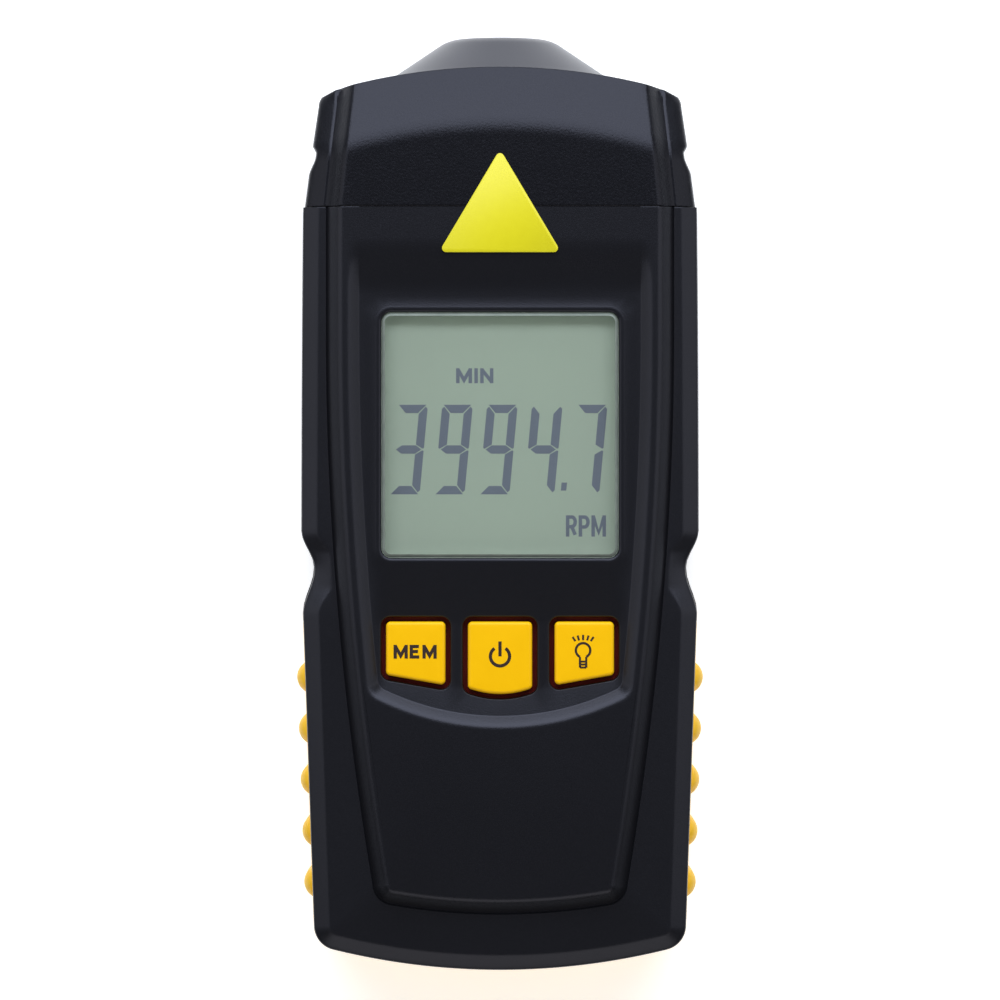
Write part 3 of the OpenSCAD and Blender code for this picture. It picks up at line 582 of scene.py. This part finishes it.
back_r = 3.2
skirt = []
roll_off = ((0.08, 0.028), (0.2, 0.072), (0.35, 0.13), (0.5, 0.19), (0.65, 0.255), (0.8, 0.33),
            (0.9, 0.4), (0.96, 0.5), (0.99, 0.7), (1.0, 1.0))
for reach, fall in roll_off:
    line = []
    for (gx, gy, gz), (px, py) in zip(rim, outline):
        drop = math.hypot(gx - px, gy - py) * edge_drop / edge_in
        line.append((mix(gx, px, reach), mix(gy, py, reach), gz - drop * fall))
    skirt.append(line)
side_top = skirt[-1]
for share in (0.25, 0.5, 0.75, 1.0):
    skirt.append([(px, py, mix(top[2], back_r, share)) for (px, py), top in zip(outline, side_top)])
for step in range(1, 9):
    a = math.radians(11.25 * step)
    in_x = 1.0 - back_r * (1.0 - math.cos(a)) / (head_w / 2)
    in_y = 1.0 - back_r * (1.0 - math.cos(a)) / (y_crest - y_seam)
    level = back_r * (1.0 - math.sin(a))
    skirt.append([(px * in_x, y_seam + (py - y_seam) * in_y, level) for px, py in outline])
skirt.insert(0, rim)
first = len(verts)
skirt_rings = [line + [(-x, y, z) for x, y, z in reversed(line[:-1])] for line in skirt]
more_verts, more_faces = sheet_of_rings(skirt_rings)
verts += more_verts
faces += [tuple(first + i for i in face) for face in more_faces]
first = len(verts)
back_columns = 12
for x, y, z in skirt[-1]:
    verts += [(mix(-x, x, j / back_columns), y, z) for j in range(back_columns + 1)]
row = back_columns + 1
for i in range(len(skirt[-1]) - 1):
    for j in range(back_columns):
        a = first + i * row + j
        faces.append((a, a + row, a + row + 1, a + 1))
first = len(verts)
lip_l = 2.2
lip_drop = 2.4
lip_foot = 1.0
lip_steps = ((seam_gap, 0.0), (seam_gap, lip_drop), (-lip_l, lip_drop), (-lip_l, lip_drop + lip_foot))
for reach, drop in lip_steps:
    verts += [(x, y_seam + reach, z - drop) for x, y, z in top_rows[0]]
for i in range(len(lip_steps) - 1):
    for j in range(wide - 1):
        a = first + i * wide + j
        faces.append((a + wide, a + wide + 1, a + 1, a))
head_black = moulded_black("head_black", (0.0030, 0.0031, 0.0042), 0.34, 0.36, 3200.0, 0.00006)
head_case = mesh_piece("head_case", verts, faces, head_black, 50.0)
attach(head_case, "housing")
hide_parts("head_cap")

# Lens hood
# Smooth satin cone on the end of the head, straight-flanked, with a rounded tip and an open bore;
# a separate black moulding whose collar seats in the opening of the head's end wall.
hood_z = 16.5
y_spot = y_crest - 1.6
y_tip = y_crest + 5.4
y_end_in = y_crest - 4.6
collar_r = 11.2
hood_base_r = 15.5
hood_bore_r = 6.7
collar_wall = 1.7
hood_edge = 0.15
bore_l = 1.2
seat_w = 0.85
seat_end = 3.6
flank_foot = (15.0, 0.25)
flank_top = (8.85, 4.41)
lip_corner = (8.0, 4.985)
lip_end = (6.9, 5.24)


def between(a, b, t):
    """Point a share t of the way from a to b."""
    return mix(a[0], b[0], t), mix(a[1], b[1], t)


flank = [(15.8, -0.5), (15.75, -0.2)] + [between(flank_foot, flank_top, i / 8) for i in range(8)]
for i in range(7):
    t = i / 6
    flank.append(between(between(flank_top, lip_corner, t), between(lip_corner, lip_end, t), t))
profile = [(collar_r - collar_wall, y_end_in), (collar_r, y_end_in), (collar_r, y_spot),
           (hood_base_r - hood_edge, y_spot), (hood_base_r, y_spot + hood_edge)]
profile += [(r, y_crest + reach) for r, reach in flank]
profile += [(hood_bore_r, y_tip - hood_edge), (hood_bore_r, y_tip - bore_l),
            (hood_bore_r + seat_w, y_tip - bore_l), (hood_bore_r + seat_w, y_tip - seat_end),
            (collar_r - collar_wall, y_spot)]


def turned(outline, turns):
    """Closed shape turned about the optical axis, from points given as radius and place along it."""
    rings = []
    for r, y in outline + outline[:1]:
        ring = []
        for k in range(turns):
            a = 2 * math.pi * k / turns
            ring.append((r * math.cos(a), y, hood_z + r * math.sin(a)))
        rings.append(ring + ring[:1])
    return sheet_of_rings(rings)


hood_black = moulded_black("hood_black", (0.0042, 0.0044, 0.0058), 0.3, 0.75, 9000.0, 0.00001)
hood_verts, hood_faces = turned(profile, 144)
hood_cone = mesh_piece("hood_cone", hood_verts, hood_faces, hood_black, 40.0)
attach(hood_cone, "housing")
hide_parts("lens_hood")

# Display
# Clear bevelled window dropped into the opening of the front shell, over a grey-green liquid crystal cell
# whose lit segments are thin dark films; the reading is a sample value.
window_t = 1.7
window_z = recess_z - window_t
window_bevel = 0.4
window_clear, shader, nodes, links = node_material("window_clear", Base_Color=(0.92, 0.96, 0.94, 1.0),
                                                   Roughness=0.06)
clear = nodes.new("ShaderNodeBsdfTransparent")
clear.inputs["Color"].default_value = (0.955, 0.975, 0.965, 1.0)
gloss = nodes.new("ShaderNodeBsdfGlossy")
gloss.inputs["Color"].default_value = (1.0, 1.0, 1.0, 1.0)
dust = nodes.new("ShaderNodeTexNoise")
dust.inputs["Scale"].default_value = 900.0
dust_range = nodes.new("ShaderNodeMapRange")
dust_range.inputs["To Min"].default_value = 0.03
dust_range.inputs["To Max"].default_value = 0.12
facing = nodes.new("ShaderNodeFresnel")
facing.inputs["IOR"].default_value = 1.42
blend = nodes.new("ShaderNodeMixShader")
place = nodes.new("ShaderNodeTexCoord")
links.new(place.outputs["Object"], dust.inputs["Vector"])
links.new(dust.outputs["Fac"], dust_range.inputs["Value"])
links.new(dust_range.outputs["Result"], gloss.inputs["Roughness"])
links.new(facing.outputs["Fac"], blend.inputs["Fac"])
links.new(clear.outputs["BSDF"], blend.inputs[1])
links.new(gloss.outputs["BSDF"], blend.inputs[2])
links.new(blend.outputs["Shader"], nodes["Material Output"].inputs["Surface"])


def plate_rings(plan, radius, steps):
    """Vertices and faces of a plate: rings at (grow, height), the last one closed towards the middle."""
    rings = [[(x, y, z) for x, y in convex_ring(plan, radius, grow)] for grow, z in steps]
    plate_verts, plate_faces = sheet_of_rings([ring + ring[:1] for ring in rings])
    lid = list(range(len(rings[-1])))
    plate_faces.append(tuple(len(plate_verts) + i for i in lid))
    plate_verts += rings[-1]
    plate_faces.append(tuple(len(plate_verts) + i for i in reversed(lid)))
    plate_verts += rings[0]
    return plate_verts, plate_faces


bevel_steps = ((-0.05, window_z), (-0.05, recess_z - window_bevel), (-0.1, recess_z - window_bevel + 0.08),
               (-window_bevel, recess_z - 0.06), (-window_bevel - 0.08, recess_z))
window_verts, window_faces = plate_rings(display_plan, display_corner_r, bevel_steps)
window_pane = mesh_piece("window_pane", window_verts, window_faces, window_clear, 25.0)
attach(window_pane, "housing")
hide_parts("display_window")


def toned(name, dark, light, cloud_scale, grain_scale=3000.0, grain_depth=0.00001, **settings):
    """Finish whose colour wanders a little between two tones, under a fine grain."""
    made, shader, nodes, links = node_material(name, **settings)
    place = nodes.new("ShaderNodeTexCoord")
    cloud = nodes.new("ShaderNodeTexNoise")
    cloud.inputs["Scale"].default_value = cloud_scale
    tone = nodes.new("ShaderNodeValToRGB")
    tone.color_ramp.elements[0].color = (*dark, 1.0)
    tone.color_ramp.elements[1].color = (*light, 1.0)
    grain = nodes.new("ShaderNodeTexNoise")
    grain.inputs["Scale"].default_value = grain_scale
    bump = nodes.new("ShaderNodeBump")
    bump.inputs["Strength"].default_value = 0.3
    bump.inputs["Distance"].default_value = grain_depth
    links.new(place.outputs["Object"], cloud.inputs["Vector"])
    links.new(place.outputs["Object"], grain.inputs["Vector"])
    links.new(cloud.outputs["Fac"], tone.inputs["Fac"])
    links.new(tone.outputs["Color"], shader.inputs["Base Color"])
    links.new(grain.outputs["Fac"], bump.inputs["Height"])
    links.new(bump.outputs["Normal"], shader.inputs["Normal"])
    return made


# Opaque pale grey-green for the window's bevel: a painted highlight for the light the clear bevel catches.
rim_painted_highlight = toned("rim_painted_highlight", (0.14, 0.17, 0.15), (0.30, 0.34, 0.30), 500.0, Roughness=0.35)
window_pane.data.materials.append(rim_painted_highlight)
window_under, shader, nodes, links = node_material("window_under", Roughness=0.1)
through = nodes.new("ShaderNodeBsdfTransparent")
haze = nodes.new("ShaderNodeTexNoise")
haze.inputs["Scale"].default_value = 700.0
haze_tone = nodes.new("ShaderNodeValToRGB")
haze_tone.color_ramp.elements[0].color = (0.955, 0.97, 0.96, 1.0)
haze_tone.color_ramp.elements[1].color = (0.975, 0.985, 0.98, 1.0)
place = nodes.new("ShaderNodeTexCoord")
links.new(place.outputs["Object"], haze.inputs["Vector"])
links.new(haze.outputs["Fac"], haze_tone.inputs["Fac"])
links.new(haze_tone.outputs["Color"], through.inputs["Color"])
links.new(through.outputs["BSDF"], nodes["Material Output"].inputs["Surface"])
window_pane.data.materials.append(window_under)
# The underside stays clear. The bevel gets an opaque pale grey-green, a painted highlight for the light its
# edges catch.
for face in window_pane.data.polygons:
    if face.normal.z < -0.5:
        face.material_index = 2
    elif 0.2 < face.normal.z < 0.97:
        face.material_index = 1

lcd_top = 33.4
# The cell glows faintly: painted light that lifts the shade the window's walls cast on it.
lcd_grey_painted_glow = toned("lcd_grey_painted_glow", (0.63, 0.70, 0.59), (0.66, 0.73, 0.62), 2600.0, grain_depth=0.000002,
                 Roughness=0.3, Emission_Color=(0.57, 0.69, 0.60, 1.0), Emission_Strength=0.1)


def paint(node, material):
    """Gives a solid of the frame its finish."""
    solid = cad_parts[node]
    solid.data.materials.clear()
    solid.data.materials.append(material)


paint("lcd_glass", lcd_grey_painted_glow)

digit_h = 12.84
digit_w = 4.38
digit_pitch = 6.44
digit_slant = math.tan(math.radians(5.3))
segment_t = 1.19
segment_gap = 0.12
digit_low = y_display - 8.48
digit_left = -15.91


def segment(name):
    """Corner points of one display segment in an upright digit."""
    w, h, t, g = digit_w, digit_h, segment_t, segment_gap
    half = h / 2
    if name == "a":
        return [(g + 0.1, h), (w - g - 0.1, h), (w - t - g, h - t), (t + g, h - t)]
    if name == "g":
        return [(g + 0.25, half), (t, half + t / 2), (w - t, half + t / 2),
                (w - g - 0.25, half), (w - t, half - t / 2), (t, half - t / 2)]
    if name == "d":
        return [(x, h - y) for x, y in segment("a")]
    upper_right = [(w - 0.3, h - 0.15 - g), (w, h - 0.6), (w, half + g + 0.1), (w - 0.2, half + g),
                   (w - t, half + t / 2 + g), (w - t, h - t - g)]
    if name == "b":
        return upper_right
    if name == "f":
        return [(w - x, y) for x, y in upper_right]
    lower_right = [(x, h - y) for x, y in upper_right]
    return lower_right if name == "c" else [(w - x, y) for x, y in lower_right]


film_step = 0.002


def thin_film(name, outlines, z, thickness, material):
    """Flat marks, each a closed outline in the plan, as thin plates of one piece with stepped tops."""
    film_verts, film_faces = [], []
    for place, mark in enumerate(outlines):
        count = len(mark)
        base = len(film_verts)
        top = z + thickness + film_step * (place % 4)
        film_verts += [(x, y, z) for x, y in mark] + [(x, y, top) for x, y in mark]
        film_faces.append(tuple(base + count + i for i in range(count)))
        film_faces.append(tuple(base + i for i in reversed(range(count))))
        for i in range(count):
            after = (i + 1) % count
            film_faces.append((base + i, base + after, base + count + after, base + count + i))
    return mesh_piece(name, film_verts, film_faces, material, 20.0)


def stroke(points, width):
    """Outline of a pen stroke of constant width along a line, mitred at its bends."""
    left, right = [], []
    for i, (x, y) in enumerate(points):
        ax, ay = points[max(i - 1, 0)]
        bx, by = points[min(i + 1, len(points) - 1)]
        first = Vector((x - ax, y - ay)) if i else Vector((bx - x, by - y))
        second = Vector((bx - x, by - y)) if i < len(points) - 1 else first
        first.normalize()
        second.normalize()
        n1, n2 = Vector((-first.y, first.x)), Vector((-second.y, second.x))
        across = (n1 + n2) / max(0.35, 1.0 + n1.dot(n2)) * (width / 2)
        left.append((x + across.x, y + across.y))
        right.append((x - across.x, y - across.y))
    return left + right[::-1]


def bowl(x0, x1, y0, y1):
    """Line of the round part of a letter, from its upper to its lower end."""
    r = (y1 - y0) / 2
    line = [(x0, y1)]
    for i in range(11):
        a = math.pi / 2 - math.pi * i / 10
        line.append((x1 - r + r * math.cos(a), y0 + r + r * math.sin(a)))
    return line + [(x0, y0)]


letter_lines = {
    "M": [[(0.0, 0.0), (0.0, 1.0)], [(0.03, 1.0), (0.45, 0.12), (0.87, 1.0)], [(0.9, 1.0), (0.9, 0.0)]],
    "I": [[(0.0, 0.0), (0.0, 1.0)]],
    "N": [[(0.0, 0.0), (0.0, 1.0)], [(0.02, 1.0), (0.68, 0.0)], [(0.7, 0.0), (0.7, 1.0)]],
    "E": [[(0.0, 0.0), (0.0, 1.0)], [(-0.05, 1.0), (0.62, 1.0)], [(-0.05, 0.52), (0.55, 0.52)],
          [(-0.05, 0.0), (0.65, 0.0)]],
    "R": [[(0.0, 0.0), (0.0, 1.0)], bowl(-0.03, 0.62, 0.46, 1.0), [(0.34, 0.46), (0.62, 0.0)]],
    "P": [[(0.0, 0.0), (0.0, 1.0)], bowl(-0.03, 0.62, 0.44, 1.0)],
}
letter_wide = {"M": 0.9, "I": 0.0, "N": 0.7, "E": 0.63, "R": 0.62, "P": 0.62}


def lettering(text, left, low, width, height, pen):
    """Outlines of a short word, spread over the given width."""
    inner_h = height - pen
    natural = sum(letter_wide[c] for c in text)
    gap = 0.42
    stretch = (width - pen) / (natural + gap * (len(text) - 1))
    marks, x = [], left + pen / 2
    for c in text:
        for line in letter_lines[c]:
            upright = pen / 2 if line[0][0] == line[1][0] else 0.0
            path = [(x + px * stretch, low + pen / 2 + py * inner_h + upright * (2.0 * py - 1.0))
                    for px, py in line]
            marks.append(stroke(path, pen))
        x += (letter_wide[c] + gap) * stretch
    return marks


reading = ("abgcd", "abcdfg", "abcdfg", "bcfg", "abc")
marks = []
for place, lit in enumerate(reading):
    left = digit_left + place * digit_pitch
    for name in lit:
        marks.append([(left + x + y * digit_slant, digit_low + y) for x, y in segment(name)])
dot_x = 8.72
dot_w = 0.78
dot_lean = 0.12
dot_low = digit_low + 0.53
dot_high = digit_low + 1.68
marks.append([(dot_x, dot_low), (dot_x + dot_w, dot_low),
              (dot_x + dot_w + dot_lean, dot_high), (dot_x + dot_lean, dot_high)])
marks += lettering("MIN", left=-6.3, low=y_display + 7.45, width=5.35, height=2.15, pen=0.5)
marks += lettering("RPM", left=9.45, low=y_display - 14.55, width=5.75, height=3.05, pen=0.5)
ink_slate = toned("ink_slate", (0.30, 0.32, 0.42), (0.33, 0.35, 0.45), 1800.0, Roughness=0.45)
lcd_segments = thin_film("lcd_segments", marks, lcd_top + 0.01, 0.02, ink_slate)
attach(lcd_segments, "housing")

# Keys
# Three glossy yellow-orange caps with softly rounded edges; each has a flange that keeps it under the
# shell and a stem on its switch, both coloured deep red as painted shade: the orange plastic as it looks in
# the shadowed gap round the key, lit only through the key. Signs printed in black.
key_yellow = toned("key_yellow", (0.96, 0.52, 0.001), (1.0, 0.56, 0.002), 420.0,
                   Roughness=0.35, Specular_IOR_Level=0.2)
# Deep red for flange and stem: painted shade, the orange plastic as it looks in the dark gap round the key.
key_root_painted_shade = toned("key_root_painted_shade", (0.20, 0.005, 0.002), (0.25, 0.008, 0.003), 600.0, Roughness=0.4)
key_top = recess_z + 0.9
key_round = 0.5
key_crown = 0.06
flange_top = ceiling_z - 0.2
flange_h = 1.6
flange_low = flange_top - flange_h
flange_grow = 1.2
plunger_top = 30.2
stem_r = 1.5


def key_cap(name, plan, centre):
    """A key from its stem and flange up to the crowned top."""
    steps = [(flange_grow, flange_low), (flange_grow, flange_top), (0.0, flange_top)]
    for i in range(9):
        a = math.radians(90.0 * i / 8)
        steps.append((-key_round * (1.0 - math.cos(a)), key_top - key_round * (1.0 - math.sin(a))))
    rings = [[(x, y, z) for x, y in convex_ring(plan, key_corner_r, grow)] for grow, z in steps]
    top_edge = rings[-1]
    for share in (0.85, 0.65, 0.4, 0.15):
        crown = key_crown * (1.0 - share * share)
        rings.append([(mix(centre[0], x, share), mix(centre[1], y, share), key_top + crown)
                      for x, y, z in top_edge])
    stem = []
    for x, y, z in rings[0]:
        a = math.atan2(y - centre[1], x - centre[0])
        stem.append((centre[0] + stem_r * math.cos(a), centre[1] + stem_r * math.sin(a), flange_low))
    rings = [[(x, y, plunger_top) for x, y, z in stem], stem] + rings
    cap_verts, cap_faces = sheet_of_rings([ring + ring[:1] for ring in rings])
    cap_faces.append(tuple(len(cap_verts) + i for i in range(len(rings[-1]))))
    cap_verts += rings[-1]
    cap_faces.append(tuple(len(cap_verts) + i for i in reversed(range(len(rings[0])))))
    cap_verts += rings[0]
    cap = mesh_piece(name + "_cap", cap_verts, cap_faces, key_yellow, 50.0)
    cap.data.materials.append(key_root_painted_shade)
    # Faces below the top of the flange take the painted shade.
    for face in cap.data.polygons:
        face.material_index = 1 if face.center.z < (flange_top + 0.1) * MM else 0
    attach(cap, name)
    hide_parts(name)


outer_centre = (outer_x + key_w / 2, y_keys - (key_short_l + key_long_l) / 4)
key_cap("memory_key", memory_plan, (-outer_centre[0], outer_centre[1]))
key_cap("power_key", power_plan, (0.0, y_keys - power_l / 2))
key_cap("light_key", light_plan, outer_centre)

sign_black = toned("sign_black", (0.016, 0.006, 0.003), (0.034, 0.014, 0.006), 3000.0, Roughness=0.5)


def arc_line(cx, cy, r, start, end, steps):
    """Points of an arc, angles in degrees."""
    line = []
    for i in range(steps + 1):
        a = math.radians(mix(start, end, i / steps))
        line.append((cx + r * math.cos(a), cy + r * math.sin(a)))
    return line


sign_z = key_top + 0.045
power_y = y_keys - 4.93
power_pen = 0.46
power_marks = [stroke(arc_line(0.0, power_y, 1.37, 125.0, 415.0, 48), power_pen),
               stroke([(0.0, power_y), (0.0, power_y + 2.13)], power_pen)]
bulb_x = 11.87
bulb_y = y_keys - 4.08
light_marks = [stroke(arc_line(bulb_x, bulb_y, 1.03, -64.0, 244.0, 40), 0.34)]
neck_half = 0.45
for side in (-neck_half, neck_half):
    light_marks.append(stroke([(bulb_x + side, bulb_y - 0.95), (bulb_x + side, bulb_y - 2.45)], 0.3))
for drop in (1.6, 2.02, 2.45):
    thread = [(bulb_x - neck_half, bulb_y - drop), (bulb_x + neck_half, bulb_y - drop)]
    light_marks.append(stroke(thread, 0.27))
rays = ((-1.1, 1.32, -1.5, 1.92), (-0.58, 1.42, -0.78, 2.12), (0.0, 1.45, 0.0, 2.22),
        (0.58, 1.42, 0.78, 2.12), (1.1, 1.32, 1.5, 1.92))
for low_x, low_y, high_x, high_y in rays:
    light_marks.append(stroke([(bulb_x + low_x, bulb_y + low_y), (bulb_x + high_x, bulb_y + high_y)], 0.28))
memory_marks = lettering("MEM", left=-15.2, low=y_keys - 5.25, width=6.15, height=1.95, pen=0.46)
for key, sign_marks in (("memory_key", memory_marks), ("power_key", power_marks), ("light_key", light_marks)):
    sign = thin_film(key + "_sign", sign_marks, sign_z, 0.03, sign_black)
    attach(sign, key)

# Yellow plate
# Plain rounded triangle of thin yellow film stuck across the head seam.
plate_plan = [(-8.74, y_seam - 6.6), (8.74, y_seam - 6.6), (0.0, y_seam + 8.12)]
plate_yellow = toned("plate_yellow", (0.76, 0.68, 0.006), (0.80, 0.73, 0.010), 700.0, Roughness=0.4)
plate_corner_r = 0.6
plate_steps = ((0.0, case_t), (0.0, case_t + 0.08), (-0.04, case_t + 0.11))
plate_verts, plate_faces = plate_rings(plate_plan, plate_corner_r, plate_steps)
yellow_plate = mesh_piece("yellow_plate", plate_verts, plate_faces, plate_yellow, 40.0)
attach(yellow_plate, "housing")

# Rear shell
# Black moulded back of the case with the battery bay, the same satin spark finish as the front.
paint("rear_shell", case_black)

# Battery cover
# Orange moulded cover that wraps the bay and slides off towards the toe; five grip bumps on each side.
cover_orange = toned("cover_orange", (0.98, 0.56, 0.012), (1.0, 0.60, 0.018), 90.0, 4600.0, 0.00003,
                     Roughness=0.42)
paint("battery_cover", cover_orange)

# Display carrier
# White moulded frame between board and window with a milky light panel in it; two strips of
# contact rubber carry the signals up to the glass.
frame_white = toned("frame_white", (0.70, 0.70, 0.67), (0.78, 0.78, 0.75), 220.0, 2600.0, 0.00002,
                    Roughness=0.5)
panel_milk = toned("panel_milk", (0.80, 0.83, 0.80), (0.88, 0.90, 0.87), 160.0, Roughness=0.35)
zebra_pink = toned("zebra_pink", (0.42, 0.20, 0.22), (0.72, 0.42, 0.44), 1500.0, 5000.0, 0.00003,
                   Roughness=0.6)
paint("lcd_frame", frame_white)
paint("backlight_panel", panel_milk)
paint("zebra_strips", zebra_pink)

# Main board
# Green glass-fibre board with the controller, a crystal can and three push switches soldered on.
board_green = toned("board_green", (0.006, 0.085, 0.030), (0.012, 0.130, 0.050), 380.0, 1400.0, 0.00003,
                    Roughness=0.4)
chip_black = toned("chip_black", (0.010, 0.010, 0.011), (0.020, 0.020, 0.022), 900.0, 4000.0, 0.00003,
                   Roughness=0.6)
bright_steel = toned("bright_steel", (0.52, 0.53, 0.55), (0.66, 0.67, 0.69), 260.0, 2200.0, 0.00002,
                     Metallic=1.0, Roughness=0.28)
switch_grey = toned("switch_grey", (0.030, 0.031, 0.034), (0.046, 0.047, 0.051), 600.0, Roughness=0.5)
plunger_brown = toned("plunger_brown", (0.085, 0.022, 0.012), (0.120, 0.034, 0.020), 600.0, Roughness=0.45)
paint("main_board", board_green)
paint("controller_chip", chip_black)
paint("crystal_can", bright_steel)
for place in ("memory", "power", "light"):
    paint(place + "_switch", switch_grey)
    paint(place + "_plunger", plunger_brown)

# Optics
# A red filter closes the hood; behind it a moulded block holds the brass laser tube, the receiving
# lens and the photodiode, with a small board at its back.
filter_red = toned("filter_red", (0.160, 0.004, 0.008), (0.220, 0.008, 0.014), 200.0,
                   Roughness=0.08, Transmission_Weight=0.4)
holder_grey = toned("holder_grey", (0.028, 0.028, 0.032), (0.044, 0.044, 0.050), 300.0, Roughness=0.55)
tube_brass = toned("tube_brass", (0.50, 0.33, 0.10), (0.64, 0.44, 0.15), 240.0, 1800.0, 0.00002,
                   Metallic=1.0, Roughness=0.3)
lens_clear = toned("lens_clear", (0.78, 0.86, 0.88), (0.88, 0.94, 0.95), 120.0,
                   Roughness=0.05, Transmission_Weight=0.85)
paint("snout_window", filter_red)
paint("optics_holder", holder_grey)
paint("laser_module", tube_brass)
paint("receiver_lens", lens_clear)
paint("photodiode", bright_steel)
paint("sensor_board", board_green)

# Cells and contacts
# Three small cells in grey film jackets between plated springs and plates.
cell_grey = toned("cell_grey", (0.085, 0.110, 0.130), (0.125, 0.155, 0.180), 140.0, 2400.0, 0.00001,
                  Roughness=0.32)
for place in ("left", "middle", "right"):
    paint(place + "_cell", cell_grey)
paint("contact_springs", bright_steel)
paint("contact_plates", bright_steel)

# Screws
# Zinc-plated pan-head screws that hold the shells, the board and the optics.
screw_zinc = toned("screw_zinc", (0.36, 0.37, 0.39), (0.50, 0.51, 0.53), 320.0, 2600.0, 0.00003,
                   Metallic=1.0, Roughness=0.36)
for place in ("case", "board", "head"):
    paint(place + "_screws", screw_zinc)
